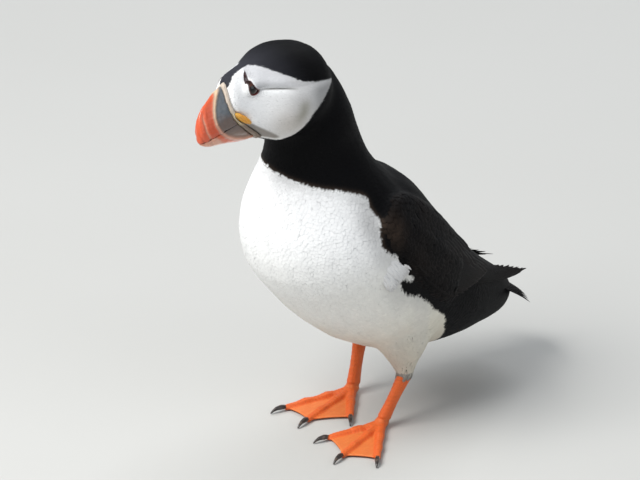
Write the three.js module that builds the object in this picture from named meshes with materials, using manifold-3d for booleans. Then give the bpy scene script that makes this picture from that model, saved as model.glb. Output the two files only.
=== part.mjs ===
// A life-size Atlantic puffin that stands upright on both webbed feet, its head turned a little.
// Units are millimetres. +Z is up, the bird faces -Y and its left side is +X. The floor is at z = 0.
import * as THREE from "three";
import { mergeVertices } from "three/addons/utils/BufferGeometryUtils.js";
import Module from "manifold-3d";

const wasm = await Module();
wasm.setup();

// ---- Driving dimensions -------------------------------------------------------------------------

const GAP = 0.3; // the clearance between neighbouring pieces
const CUT_REACH = 400; // the side of the blocks that halve a solid

// The head's own frame: forward is -Y and its origin is the middle of the skull.
const HEAD_CENTRE = [0, -72, 190.5];
// In degrees: the bill turned up, the crown to the bird's right and the bill to its left.
const HEAD_TURN = { pitch: 5, roll: 9, yaw: 5 };

const CERE_WIDTH = 1.7;
const CERE_PROUD = 0.8;
const GAPE_AT = [-24, -7.5]; // y and z: where the slit between the mandibles meets the cere
const GAPE_FALL = 15; // degrees that the slit falls towards the tip

const EYE_RADIUS = 4.3;
const EYE_CENTRE = [6.4, -16.8, 7.4]; // left eye
const PLATE_THICKNESS = 0.7;
const ROSETTE_SIZE = [2.3, 5.6, 1.9]; // half width, half length, half height
const ROSETTE_CENTRE = [7.1, -23.3, -5.7];
const ROSETTE_FALL = 36; // degrees that its long axis falls towards the nape

const NECK_CUT = { at: [0, -50, 139], tilt: 24 }; // degrees from level, lower at the back
const WING_CUT = { at: [0, 26, 80], tilt: 48 }; // between the arm of the folded wing and its primaries

// Each foot: the ball of the foot, degrees turned towards the bird's left, and the ankle.
const FEET = {
  left: { side: 1, at: [16.5, -9, 0], turn: 16, ankle: [21.5, 2, 26.5] },
  right: { side: -1, at: [-20.5, 8, 0], turn: 12, ankle: [-23.2, 17, 28] },
};
const KNEE = [20, 0, 60]; // the hidden top of the left thigh
const THIGH_RADIUS = 15;
const TARSUS_FLAT = 0.66; // its width as a share of its depth
// Each toe's length, and its direction in degrees outwards from the middle toe.
const TOES = { inner: [30, -32], middle: [40, 0], outer: [38, 26] };
const TOE_RADIUS = 2.5;
const TOE_TIP_RADIUS = 1.6;
const WEB_THICKNESS = 1;
const WEB_LEVEL = 0.8; // underside of the web above the floor
const CLAW_LENGTH = 8;
const CLAW_RADIUS = 1.3;

// Materials: colour, roughness.
const FINISHES = {
  black: [0x17171a, 0.75],
  white: [0xeceae4, 0.8],
  face: [0xdedcd8, 0.8],
  bill_red: [0xe2592b, 0.42],
  cere: [0xe0cfae, 0.5],
  rosette: [0xf0a024, 0.5],
  orange: [0xf07423, 0.5],
  claw: [0x2b2626, 0.35],
  eye: [0x2a1712, 0.15],
  plate: [0x5c6068, 0.5],
};

// ---- Solids -------------------------------------------------------------------------------------

/** A manifold solid from a three.js geometry, placed by an optional matrix. */
function solid(geometry, matrix = new THREE.Matrix4()) {
  const bare = geometry.clone().applyMatrix4(matrix);
  bare.deleteAttribute("normal");
  bare.deleteAttribute("uv");
  const merged = mergeVertices(bare, 1e-4);
  return new wasm.Manifold(
    new wasm.Mesh({
      numProp: 3,
      vertProperties: merged.attributes.position.array,
      triVerts: new Uint32Array(merged.index.array),
    }),
  );
}

/** A named mesh of a solid, in one of the finishes. */
function mesh(name, shape, finish) {
  const out = shape.getMesh();
  const geometry = new THREE.BufferGeometry();
  geometry.setAttribute("position", new THREE.BufferAttribute(out.vertProperties, 3));
  geometry.setIndex(new THREE.BufferAttribute(out.triVerts, 1));
  geometry.computeVertexNormals();
  const [color, roughness] = FINISHES[finish];
  const material = new THREE.MeshStandardMaterial({ color, roughness, metalness: 0 });
  const made = new THREE.Mesh(geometry, material);
  made.name = name;
  return made;
}

/** The largest body of a solid: what is left when a cut drops slivers. */
function main(shape) {
  return shape.decompose().sort((a, b) => b.volume() - a.volume())[0];
}

/** A curve through the given rows of numbers, three at a time, read by channel. */
function channels(rows) {
  const width = rows[0].length;
  const curves = [];
  for (let first = 0; first < width; first += 3) {
    const at = (row) => new THREE.Vector3(row[first], row[first + 1] ?? 0, row[first + 2] ?? 0);
    const points = rows.map(at);
    curves.push(new THREE.CatmullRomCurve3(points, false, "catmullrom", 0.5));
  }
  return (t) => curves.flatMap((curve) => curve.getPoint(t).toArray());
}

/**
 * A body lofted in the plane x = 0, as a sphere whose rings are moved to the stations. Each station is
 * [y, z, half width, radius above, radius below, egg, lean]: egg narrows the upper side, and lean turns
 * the ring's upward axis from +Z towards +Y, in degrees.
 */
function loft(stations, around, along, { grow = 0, power = 2 } = {}) {
  const geometry = new THREE.SphereGeometry(1, around, along);
  const position = geometry.attributes.position;
  const uv = geometry.attributes.uv;
  const at = channels(stations);
  const shape = (value) => Math.sign(value) * Math.abs(value) ** (2 / power);
  for (let i = 0; i < position.count; i++) {
    const t = Math.round((1 - uv.getY(i)) * along) / along;
    const [y, z, width, above, below, egg, lean] = at(t);
    const turn = 2 * Math.PI * uv.getX(i);
    const rise = shape(Math.sin(turn));
    const pole = t === 0 || t === 1;
    const wide = pole ? 0 : (Math.max(width, 0.05) + grow) * (1 - egg * rise) * shape(Math.cos(turn));
    const high = pole ? 0 : (Math.max(rise > 0 ? above : below, 0.05) + grow) * rise;
    const end = pole ? (t === 0 ? grow : -grow) : 0;
    const [sin, cos] = [Math.sin, Math.cos].map((part) => part(THREE.MathUtils.degToRad(lean)));
    position.setXYZ(i, wide, y + high * sin + end * cos, z + high * cos - end * sin);
  }
  const made = solid(geometry);
  return made.volume() < 0 ? solid(flipped(geometry)) : made;
}

/** The same geometry with every face turned round. */
function flipped(geometry) {
  const index = geometry.index.array;
  for (let i = 0; i < index.length; i += 3) [index[i + 1], index[i + 2]] = [index[i + 2], index[i + 1]];
  return geometry;
}

/** A sine or cosine drawn towards the corners of a square. */
const square = (value) => Math.sign(value) * Math.abs(value) ** 0.5;

/**
 * A blade with round edges between two edge curves. Where `bed` is proud of the straight blade, seen
 * along `outward`, the blade is lifted until it lies on it.
 */
function blade(edgeA, edgeB, bed, { around, along, thickness, outward }) {
  const geometry = new THREE.SphereGeometry(1, around, along);
  const position = geometry.attributes.position;
  const uv = geometry.attributes.uv;
  const [curveA, curveB] = [edgeA, edgeB].map(
    (edge) => new THREE.CatmullRomCurve3(edge.map((p) => new THREE.Vector3(...p)), false, "centripetal"),
  );
  const out = new THREE.Vector3(...outward).normalize();
  const away = 60;
  for (let i = 0; i < position.count; i++) {
    const t = Math.round((1 - uv.getY(i)) * along) / along;
    const turn = 2 * Math.PI * uv.getX(i);
    const point = curveA.getPoint(t).lerp(curveB.getPoint(t), (1 - square(Math.cos(turn))) / 2);
    const ray = new THREE.Raycaster(point.clone().addScaledVector(out, away), out.clone().negate());
    const [hit] = ray.intersectObject(bed);
    const rest = hit ? Math.max(0, away - hit.distance) : 0;
    const pole = t === 0 || t === 1;
    point.addScaledVector(out, rest + thickness(t) * (pole ? 0.4 : 0.35 + 0.65 * square(Math.sin(turn))));
    position.setXYZ(i, point.x, point.y, point.z);
  }
  const made = solid(geometry);
  return made.volume() < 0 ? solid(flipped(geometry)) : made;
}

/** A tapering limb through the given [x, y, z, radius] rows, `flat` times as wide as deep. */
function limb(rows, around, along, { grow = 0, flat = 1 } = {}) {
  const geometry = new THREE.SphereGeometry(1, around, along);
  const position = geometry.attributes.position;
  const uv = geometry.attributes.uv;
  const points = rows.map(([x, y, z]) => new THREE.Vector3(x, y, z));
  const radii = rows.map((row, i) => new THREE.Vector3(i, row[3], 0));
  const centre = new THREE.CatmullRomCurve3(points, false, "centripetal");
  const radius = new THREE.CatmullRomCurve3(radii, false, "catmullrom");
  for (let i = 0; i < position.count; i++) {
    const t = Math.round((1 - uv.getY(i)) * along) / along;
    const turn = 2 * Math.PI * uv.getX(i);
    const tangent = centre.getTangent(Math.min(0.999, Math.max(0.001, t)));
    const side = new THREE.Vector3(1, 0, 0).addScaledVector(tangent, -tangent.x).normalize();
    const up = new THREE.Vector3().crossVectors(side, tangent);
    const pole = t === 0 || t === 1;
    const r = pole ? 0 : radius.getPoint(t).y + grow;
    const point = centre.getPoint(t);
    if (pole) point.addScaledVector(tangent, t === 0 ? -grow : grow);
    point.addScaledVector(side, r * flat * Math.cos(turn)).addScaledVector(up, r * Math.sin(turn));
    position.setXYZ(i, point.x, point.y, point.z);
  }
  const made = solid(geometry);
  return made.volume() < 0 ? solid(flipped(geometry)) : made;
}

/** A matrix from a place and a turn in degrees about X, Y and Z. */
function placed([x, y, z], [rx, ry, rz] = [0, 0, 0]) {
  const radians = [rx, ry, rz].map(THREE.MathUtils.degToRad);
  const turn = new THREE.Quaternion().setFromEuler(new THREE.Euler(...radians, "ZYX"));
  return new THREE.Matrix4().compose(new THREE.Vector3(x, y, z), turn, new THREE.Vector3(1, 1, 1));
}

/** The half of a solid on one side of a plane: `side` 1 keeps what the plane's own +Z points to. */
function half(shape, matrix, side) {
  const block = new THREE.BoxGeometry(CUT_REACH, CUT_REACH, CUT_REACH);
  block.translate(0, 0, side * (CUT_REACH / 2 + GAP / 2));
  return shape.intersect(solid(block, matrix));
}

/** The point a share of the way from one point to another. */
const between = (from, to, share) => from.map((value, i) => value + share * (to[i] - value));

/** The mirror image of a list of points across the bird's middle. */
const mirrored = (points) => points.map(([x, ...rest]) => [-x, ...rest]);

// ---- Trunk and neck -----------------------------------------------------------------------------

// From the tail's root to the top of the neck.
const BODY = [
  [94, 35, 0, 0, 0, 0, 18],
  [82, 39.5, 13, 9.5, 13, 0, 20],
  [66, 45, 21, 15.5, 18.5, 0, 22],
  [46, 51.5, 29, 24.5, 25, 0, 25],
  [24, 61.5, 36.5, 34.5, 32, 0.02, 30],
  [4, 74, 42, 42, 37.8, 0.03, 35],
  [-12, 88, 44, 44.5, 40, 0.03, 42],
  [-24, 102, 44.5, 42, 40.8, 0.02, 50],
  [-31, 114, 43, 37, 42.8, 0, 59],
  [-34, 127, 38.5, 30.5, 41, 0, 67],
  [-37, 141, 30, 25, 32, 0, 73],
  [-40, 154, 23.7, 24, 22.4, 0, 73],
  [-46, 167, 22, 26, 14.8, 0, 66],
  [-54, 179, 17, 27, 7, 0, 54],
  [-61, 187, 12.5, 21, 3.5, 0, 46],
  [-66, 192, 0, 0, 0, 0, 44],
];

const bodyShape = (grow) => loft(BODY, 24, 28, { grow });

// ---- Head ---------------------------------------------------------------------------------------

// In the head's frame, from the nape to the face.
const SKULL = [
  [39, -3, 0, 0, 0, 0, 0],
  [35, -2.5, 12.5, 14.5, 14, 0, 0],
  [27, -1, 20, 20.5, 20.5, 0.03, 0],
  [15, 0, 23, 22.4, 23, 0.08, 0],
  [3, 0, 20.6, 22.6, 24, 0.17, 0],
  [-7, 0, 15.6, 19.2, 22.5, 0.19, 0],
  [-14, -0.5, 11.4, 18.2, 21.5, 0.1, 0],
  [-21, -1, 8.4, 17.2, 20, 0.06, 0],
  [-28, -1, 6.6, 14.2, 18, 0.06, 0],
  [-34, -1, 0, 0, 0, 0, 0],
];

const headMatrix = placed(HEAD_CENTRE, [-HEAD_TURN.pitch, -HEAD_TURN.roll, HEAD_TURN.yaw]);
const skullShape = (grow) => loft(SKULL, 20, 16, { grow, power: 2.15 });

// The feathered face ends on this line, from above the forehead to behind the chin: y, z.
const FACE_EDGE = [
  [-21, 32],
  [-24.5, 17],
  [-27.1, 10],
  [-28.3, 3],
  [-26.2, -4],
  [-20, -9.7],
  [-12, -15],
  [-3, -20.5],
  [8, -28],
];

/** The space behind the face's edge, moved forward by `extra`: a block right across the head. */
function behindFace(extra) {
  const edge = new THREE.SplineCurve(FACE_EDGE.map(([y, z]) => new THREE.Vector2(y, z)));
  const outline = edge.getPoints(14).map((point, i, all) => {
    const tangent = edge.getTangent(i / (all.length - 1));
    return new THREE.Vector2(point.x + tangent.y * extra, point.y - tangent.x * extra);
  });
  outline.push(new THREE.Vector2(60, -28), new THREE.Vector2(60, 32));
  const block = new THREE.ExtrudeGeometry(new THREE.Shape(outline), { depth: 90, bevelEnabled: false });
  return solid(sideways(block, -45));
}

/** A shape extruded from an outline in y and z, laid across the bird from `start` on the X axis. */
function sideways(geometry, start) {
  geometry.rotateY(Math.PI / 2);
  geometry.rotateX(Math.PI / 2);
  return geometry.translate(start, 0, 0);
}

// From inside the face to the tip.
const BILL = [
  [8, -10, 0, 0, 0, 0, 0],
  [3, -9, 5, 10, 11, 0.1, 0],
  [-8, -6, 6.4, 14, 13.4, 0.14, 0],
  [-18, -3.2, 6.6, 15.4, 15.8, 0.22, 0],
  [-27, -3, 6.1, 14.3, 14.7, 0.26, 0],
  [-34, -4, 5.2, 13.1, 13, 0.28, 0],
  [-40, -6, 4.2, 11.5, 10.5, 0.26, 0],
  [-44.5, -7.4, 3.1, 9.8, 7.8, 0.2, 0],
  [-47, -8.4, 2.1, 6, 5, 0.1, 0],
  [-48.2, -8.6, 0, 0, 0, 0, 0],
];

const billShape = (grow) => loft(BILL, 16, 20, { grow, power: 1.75 });
const gapePlane = placed([0, ...GAPE_AT], [GAPE_FALL, 0, 0]);

/** The part of a solid above (1) or below (-1) the gape. */
const jaw = (shape, side) => half(shape, gapePlane, side);

/** An eyeball, or the socket that holds it when it grows. */
function eyeBall(side, grow = 0) {
  const ball = new THREE.SphereGeometry(EYE_RADIUS + grow, 12, 8);
  return solid(ball, placed([side * EYE_CENTRE[0], EYE_CENTRE[1], EYE_CENTRE[2]]));
}

/** The soft yellow pad at the corner of the mouth. */
function rosetteShape(side, grow = 0) {
  const ball = new THREE.SphereGeometry(1, 10, 6);
  ball.scale(...ROSETTE_SIZE.map((size) => size + grow));
  const at = [side * ROSETTE_CENTRE[0], ROSETTE_CENTRE[1], ROSETTE_CENTRE[2]];
  return solid(ball, placed(at, [-ROSETTE_FALL, 0, side * -16]));
}

/** A thin horny plate on the face: an outline in y and z, kept where it hugs the skull. */
function facePlate(side, outline, skin) {
  const shape = new THREE.Shape(outline.map(([y, z]) => new THREE.Vector2(y, z)));
  const block = new THREE.ExtrudeGeometry(shape, { depth: 30, bevelEnabled: false });
  return main(solid(sideways(block, side > 0 ? 0 : -30)).intersect(skin));
}

const EYE_PLATE = [[-20.4, 10.6], [-17.6, 11.2], [-17.6, 13.4], [-18.3, 16]];

/** Every piece of the head in its own frame, by name. */
function headPieces() {
  const pieces = {};
  const pads = rosetteShape(1, GAP).add(rosetteShape(-1, GAP));
  const bill = billShape(0).subtract(behindFace(CERE_WIDTH + 2 * GAP)).subtract(pads);
  pieces.bill_upper = main(jaw(bill, 1));
  pieces.bill_lower = main(jaw(bill, -1));
  const band = behindFace(CERE_WIDTH + GAP).subtract(behindFace(GAP));
  pieces.cere = main(band.intersect(billShape(CERE_PROUD)).subtract(pads));
  let face = skullShape(0).intersect(behindFace(0)).subtract(pads);
  for (const [side, name] of [[1, "left"], [-1, "right"]]) {
    pieces[`eye_${name}`] = eyeBall(side);
    pieces[`rosette_${name}`] = rosetteShape(side);
    face = face.subtract(eyeBall(side, GAP));
    const skin = skullShape(GAP + PLATE_THICKNESS).subtract(skullShape(GAP)).subtract(eyeBall(side, GAP));
    pieces[`eye_plate_${name}`] = facePlate(side, EYE_PLATE, skin);
  }
  pieces.head = main(face);
  return pieces;
}

// ---- Wings and tail -----------------------------------------------------------------------------

// The left wing's lower and upper edges, from the bend of the wing to its tip: [x, y, z].
const WING_BEND = [34, -35, 121];
const WING_TIP = [12, 95, 48.5];
const WING_LOWER = [WING_BEND, [39, -26, 102], [40, -9, 82], [35, 14, 64], [24, 42, 54], [13, 68, 55.5]];
const WING_UPPER = [WING_BEND, [31, -17, 131], [26, 9, 116], [19, 35, 89], [14, 55, 70], [13, 73, 60.5]];

/** The whole folded wing of one side, lying on the trunk. */
function wingShape(side, trunk) {
  const left = [WING_LOWER, WING_UPPER].map((edge) => [...edge, WING_TIP]);
  const edges = side > 0 ? left : left.map(mirrored);
  return blade(...edges, trunk, {
    around: 12,
    along: 16,
    thickness: (t) => 6 * (1 - t) + 2 * t,
    outward: [side * 0.9, 0.1, 0.42],
  });
}

// The tail, from its hidden root to its tip: y and z, half width.
const TAIL_HALF_WIDTH = 20;
const TAIL = [[60, 56, 8], [76, 48.5, 15], [87, 41.5, TAIL_HALF_WIDTH], [94, 36, 18.5], [98.5, 32, 0]];
const TAIL_ROUND = 3; // the sides end this much sooner than the middle
const TAIL_THICKNESS = 2.4;
const TAIL_DOME = 4; // the sides of the tail hang this much lower than its middle

/** The tail: a short round fan, a little domed. */
function tailShape() {
  const along = 10;
  const geometry = new THREE.SphereGeometry(1, 16, along);
  const position = geometry.attributes.position;
  const uv = geometry.attributes.uv;
  const at = channels(TAIL);
  for (let i = 0; i < position.count; i++) {
    const t = Math.round((1 - uv.getY(i)) * along) / along;
    const turn = 2 * Math.PI * uv.getX(i);
    const [y, z, width] = at(t);
    const pole = t === 0 || t === 1;
    const across = pole ? 0 : Math.cos(turn);
    const rise = pole ? 0 : (TAIL_THICKNESS / 2) * Math.sin(turn);
    const droop = TAIL_DOME * ((across * width) / TAIL_HALF_WIDTH) ** 2;
    position.setXYZ(i, width * across, y - TAIL_ROUND * across ** 2, z + rise - droop);
  }
  const made = solid(geometry);
  return made.volume() < 0 ? solid(flipped(geometry)) : made;
}

// ---- Legs ---------------------------------------------------------------------------------------

/** A feathered thigh: a straight cone from inside the trunk to just below the ankle. */
function thighShape({ ankle, side }, grow = 0) {
  const knee = [side * KNEE[0], KNEE[1], KNEE[2]];
  const toKnee = (share, radius) => [...between(ankle, knee, share), radius];
  const rows = [
    toKnee(1, 0.5),
    toKnee(0.8, THIGH_RADIUS),
    toKnee(0.45, THIGH_RADIUS * 0.8),
    toKnee(0.18, THIGH_RADIUS * 0.44),
    toKnee(0.02, THIGH_RADIUS * 0.29),
    toKnee(-0.07, 0.5),
  ];
  return limb(rows, 12, 9, { grow });
}

/** The bare tarsus, from the ankle down to the ball of the foot, narrow from side to side. */
function tarsusShape({ ankle, at, turn }) {
  const ball = [at[0], at[1] + 1, 4];
  const yaw = placed([0, 0, 0], [0, 0, turn]);
  const unturned = (point) => new THREE.Vector3(...point).applyMatrix4(yaw.clone().invert()).toArray();
  const profile = [[-0.1, 0.5], [0.02, 4.7], [0.3, 4.1], [0.7, 3.9], [0.96, 4.3], [1.06, 0.5]];
  const rows = profile.map(([share, radius]) => [...unturned(between(ankle, ball, share)), radius]);
  return limb(rows, 10, 9, { flat: TARSUS_FLAT }).transform(yaw.elements);
}

/** A direction on the floor, in degrees from straight ahead towards the bird's left. */
const ahead = (degrees) => {
  const angle = THREE.MathUtils.degToRad(degrees);
  return [Math.sin(angle), -Math.cos(angle)];
};

// The ball of the foot, from heel to toes: x, y, z, radius.
const BALL = [
  [0, 4.4, 2.4, 0.5],
  [0, 3.6, 2.4, 2.4],
  [0, 0, 2.9, 3.4],
  [0, -4, 2.4, 2.6],
  [0, -5, 2.4, 0.5],
];

/** One webbed foot in its own frame: the ball of the foot at the origin, the middle toe along -Y. */
function footPieces(side) {
  const tips = {};
  const sockets = {};
  let foot = limb(BALL, 8, 6);
  for (const [name, [length, angle]] of Object.entries(TOES)) {
    const [dx, dy] = ahead(side * angle);
    const along = (share, z, radius) => [dx * length * share, dy * length * share, z, radius];
    const knuckles = name === "inner" ? [0.45] : [0.36, 0.68];
    const rows = [along(0, 2.2, 0.5), along(0.05, 2.2, TOE_RADIUS)];
    for (const share of knuckles) {
      rows.push(along(share - 0.12, 1.7, TOE_RADIUS - share * 0.9));
      rows.push(along(share, 2.1, TOE_RADIUS + 0.25 - share * 0.9));
      rows.push(along(share + 0.12, 1.7, TOE_RADIUS - 0.2 - share * 0.9));
    }
    rows.push(along(0.96, 1.6, TOE_TIP_RADIUS), along(1, 1.5, 0.4));
    foot = foot.add(limb(rows, 7, 9));
    sockets[name] = limb(rows, 7, 9, { grow: GAP });
    tips[name] = [dx * length, dy * length, side * angle];
  }
  const web = new THREE.Shape();
  web.moveTo(0, 2);
  web.lineTo(tips.inner[0] * 0.95, tips.inner[1] * 0.95);
  const scallop = (from, to, pull) => {
    const middle = [(from[0] + to[0]) * 0.5 * pull, (from[1] + to[1]) * 0.5 * pull];
    web.quadraticCurveTo(middle[0], middle[1], to[0] * 0.95, to[1] * 0.95);
  };
  scallop(tips.inner, tips.middle, 0.88);
  scallop(tips.middle, tips.outer, 0.88);
  web.closePath();
  const settings = { depth: WEB_THICKNESS, bevelEnabled: false, curveSegments: 6 };
  const sheet = new THREE.ExtrudeGeometry(web, settings);
  sheet.translate(0, 0, WEB_LEVEL);
  const floor = placed([0, 0, -GAP / 2]);
  foot = main(half(foot.add(solid(sheet)), floor, 1));
  const claws = {};
  for (const [name, [x, y, angle]] of Object.entries(tips)) {
    const [dx, dy] = ahead(angle);
    const at = (reach, z, radius) => [x + dx * reach, y + dy * reach, z, radius];
    const claw = limb(
      [
        at(-1.6, 1.9, 0.3),
        at(-1, 2.1, CLAW_RADIUS),
        at(CLAW_LENGTH * 0.3, 2.5, CLAW_RADIUS * 0.9),
        at(CLAW_LENGTH * 0.62, 1.9, CLAW_RADIUS * 0.62),
        at(CLAW_LENGTH * 0.85, 0.7, 0.45),
        at(CLAW_LENGTH * 0.9, 0.3, 0.2),
      ],
      6,
      6,
    );
    claws[name] = main(half(claw, floor, 1).subtract(sockets[name]).subtract(foot));
  }
  return { foot, claws };
}

// ---- The whole bird -----------------------------------------------------------------------------

const puffin = new THREE.Group();

const head = headPieces();
const headGroup = new THREE.Group();
headGroup.applyMatrix4(headMatrix);
puffin.add(headGroup);
const HEAD_FINISH = { head: "face", bill_upper: "bill_red", bill_lower: "bill_red", cere: "cere" };
for (const [name, shape] of Object.entries(head)) {
  const kind = name.startsWith("eye_plate") ? "plate" : name.split("_")[0];
  headGroup.add(mesh(name, shape, HEAD_FINISH[name] ?? kind));
}

const headCutter = skullShape(GAP)
  .intersect(behindFace(GAP))
  .add(billShape(GAP + CERE_PROUD))
  .transform(headMatrix.elements);
const neckPlane = placed(NECK_CUT.at, [-NECK_CUT.tilt, 0, 0]);
const body = bodyShape(0);
const bodyCutter = bodyShape(GAP);
const bed = mesh("bed", body, "white");
puffin.add(mesh("neck", main(half(body, neckPlane, 1).subtract(headCutter)), "black"));
puffin.add(mesh("trunk", main(half(body, neckPlane, -1)), "white"));
puffin.add(mesh("tail", main(tailShape().subtract(bodyCutter)), "black"));

const wingPlane = placed(WING_CUT.at, [WING_CUT.tilt, 0, 0]);
for (const [name, foot] of Object.entries(FEET)) {
  const wing = main(wingShape(foot.side, bed).subtract(bodyCutter));
  puffin.add(mesh(`wing_${name}`, main(half(wing, wingPlane, 1)), "black"));
  puffin.add(mesh(`primaries_${name}`, main(half(wing, wingPlane, -1)), "black"));
  puffin.add(mesh(`thigh_${name}`, main(thighShape(foot).subtract(bodyCutter)), "white"));
  const footMatrix = placed(foot.at, [0, 0, foot.turn]);
  const { foot: sole, claws } = footPieces(foot.side);
  const tarsus = tarsusShape(foot).subtract(thighShape(foot, GAP));
  puffin.add(mesh(`tarsus_${name}`, main(tarsus.subtract(sole.transform(footMatrix.elements))), "orange"));
  const footGroup = new THREE.Group();
  footGroup.applyMatrix4(footMatrix);
  puffin.add(footGroup);
  footGroup.add(mesh(`foot_${name}`, sole, "orange"));
  for (const [toe, claw] of Object.entries(claws)) {
    footGroup.add(mesh(`claw_${toe}_${name}`, claw, "claw"));
  }
}

// The origin is under the middle of the bird's box, on the floor.
const box = new THREE.Box3().setFromObject(puffin, true);
const middle = box.getCenter(new THREE.Vector3());
puffin.position.set(-middle.x, -middle.y, -box.min.z);

export default puffin;
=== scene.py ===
"""The looks of a life-size Atlantic puffin that stands on both webbed feet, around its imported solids."""

import logging
import math
from collections.abc import Callable, Sequence
from dataclasses import dataclass, field
from enum import Enum

import bmesh
import bpy
import numpy as np
from mathutils import Matrix, Vector
from mathutils.bvhtree import BVHTree
from mathutils.kdtree import KDTree


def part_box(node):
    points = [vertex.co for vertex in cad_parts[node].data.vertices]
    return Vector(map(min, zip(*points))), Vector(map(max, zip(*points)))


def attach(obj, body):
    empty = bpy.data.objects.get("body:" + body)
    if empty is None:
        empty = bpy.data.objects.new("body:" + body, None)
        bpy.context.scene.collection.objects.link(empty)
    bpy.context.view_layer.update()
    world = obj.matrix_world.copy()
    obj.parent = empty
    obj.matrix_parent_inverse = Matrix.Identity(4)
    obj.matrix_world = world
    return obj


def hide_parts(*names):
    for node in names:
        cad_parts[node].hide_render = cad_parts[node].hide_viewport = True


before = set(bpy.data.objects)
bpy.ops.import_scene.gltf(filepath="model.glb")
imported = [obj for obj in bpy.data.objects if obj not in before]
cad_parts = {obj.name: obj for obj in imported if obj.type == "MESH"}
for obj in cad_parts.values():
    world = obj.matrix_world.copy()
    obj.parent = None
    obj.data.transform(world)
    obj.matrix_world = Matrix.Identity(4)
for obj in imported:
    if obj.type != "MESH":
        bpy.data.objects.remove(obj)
log = logging.getLogger("puffin")

MM = 0.001
TINT = "tint"
VANE = "vane"
BAKE = "OFBake"
BLACK = (0.0, 0.0, 0.0, 1.0)
PATCH = 0.003  # the side of one feather's patch on the bake map
SIDES = ((1, "left"), (-1, "right"))
Array = np.ndarray


# ---- Small helpers ------------------------------------------------------------------------------


def colour(code: str) -> Array:
    """The linear colour of a six-digit colour code."""
    parts = np.array([int(code[i : i + 2], 16) / 255 for i in (0, 2, 4)])
    return np.where(parts <= 0.04045, parts / 12.92, ((parts + 0.055) / 1.055) ** 2.4)


def unit(v: Array) -> Array:
    """Rows of a table, each brought to length one."""
    return v / np.maximum(np.linalg.norm(v, axis=-1, keepdims=True), 1e-12)


def ramp(x: Array, low: float, high: float) -> Array:
    """A smooth step from 0 at low to 1 at high."""
    t = np.clip((x - low) / (high - low), 0, 1)
    return t * t * (3 - 2 * t)


def hump(x: Array, middle: float, width: float) -> Array:
    """A bell of height one."""
    return np.exp(-(((x - middle) / width) ** 2))


def blend(a: Array, b: Array, share: Array) -> Array:
    """Colours mixed by a share for each row."""
    return a + (b - a) * np.asarray(share)[..., None]


def ripple(p: Array, length: float, seed: int = 0) -> Array:
    """A soft irregular wave between about -1 and 1 over points, with the given wavelength.

    Args:
        p: The points.
        length: The wavelength.
        seed: Which wave.

    Returns:
        A value for each point.
    """
    rng = np.random.default_rng(seed)
    total = np.zeros(len(p))
    for octave in range(5):
        way = unit(rng.normal(size=3))
        total += np.sin(p @ way * 2 * math.pi / (length * (0.7 + 0.2 * octave)) + rng.uniform(0, 6.3))
    return total / 2.6


def signed_distance(p: Array, outline: Array) -> Array:
    """How far points of a plane lie outside a closed outline.

    Args:
        p: The points, two numbers each.
        outline: The corners of the outline.

    Returns:
        The distances, negative inside.
    """
    best = np.full(len(p), np.inf)
    inside = np.zeros(len(p), bool)
    for a, b in zip(outline, np.roll(outline, -1, axis=0)):
        along = b - a
        share = np.clip(((p - a) @ along) / max(along @ along, 1e-12), 0, 1)
        best = np.minimum(best, np.linalg.norm(p - a - share[:, None] * along, axis=1))
        crosses = (a[1] > p[:, 1]) != (b[1] > p[:, 1])
        with np.errstate(divide="ignore", invalid="ignore"):
            at = a[0] + (p[:, 1] - a[1]) * along[0] / (along[1] if along[1] else 1e-12)
        inside ^= crosses & (p[:, 0] < at)
    return np.where(inside, -best, best)


def line_distance(p: Array, line: Array) -> Array:
    """How far points lie from an open line of corners.

    Args:
        p: The points.
        line: The corners.

    Returns:
        The distance of each point.
    """
    best = np.full(len(p), np.inf)
    for a, b in zip(line[:-1], line[1:]):
        along = b - a
        share = np.clip(((p - a) @ along) / max(along @ along, 1e-12), 0, 1)
        best = np.minimum(best, np.linalg.norm(p - a - share[:, None] * along, axis=1))
    return best


def smooth_line(corners: Array, t: Array) -> Array:
    """Points of a smooth curve through corners, at shares of its length in corners.

    Args:
        corners: The corners.
        t: The shares.

    Returns:
        A point for each share.
    """
    corners = np.asarray(corners, float)
    padded = np.vstack([2 * corners[0] - corners[1], corners, 2 * corners[-1] - corners[-2]])
    at = np.clip(np.asarray(t, float), 0, 1) * (len(corners) - 1)
    i = np.minimum(at.astype(int), len(corners) - 2)
    u = (at - i)[:, None]
    a, b, c, d = (padded[i + k] for k in range(4))
    return 0.5 * (2 * b + (c - a) * u + (2 * a - 5 * b + 4 * c - d) * u**2 + (3 * b - a - 3 * c + d) * u**3)


# ---- Where things are ---------------------------------------------------------------------------


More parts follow.
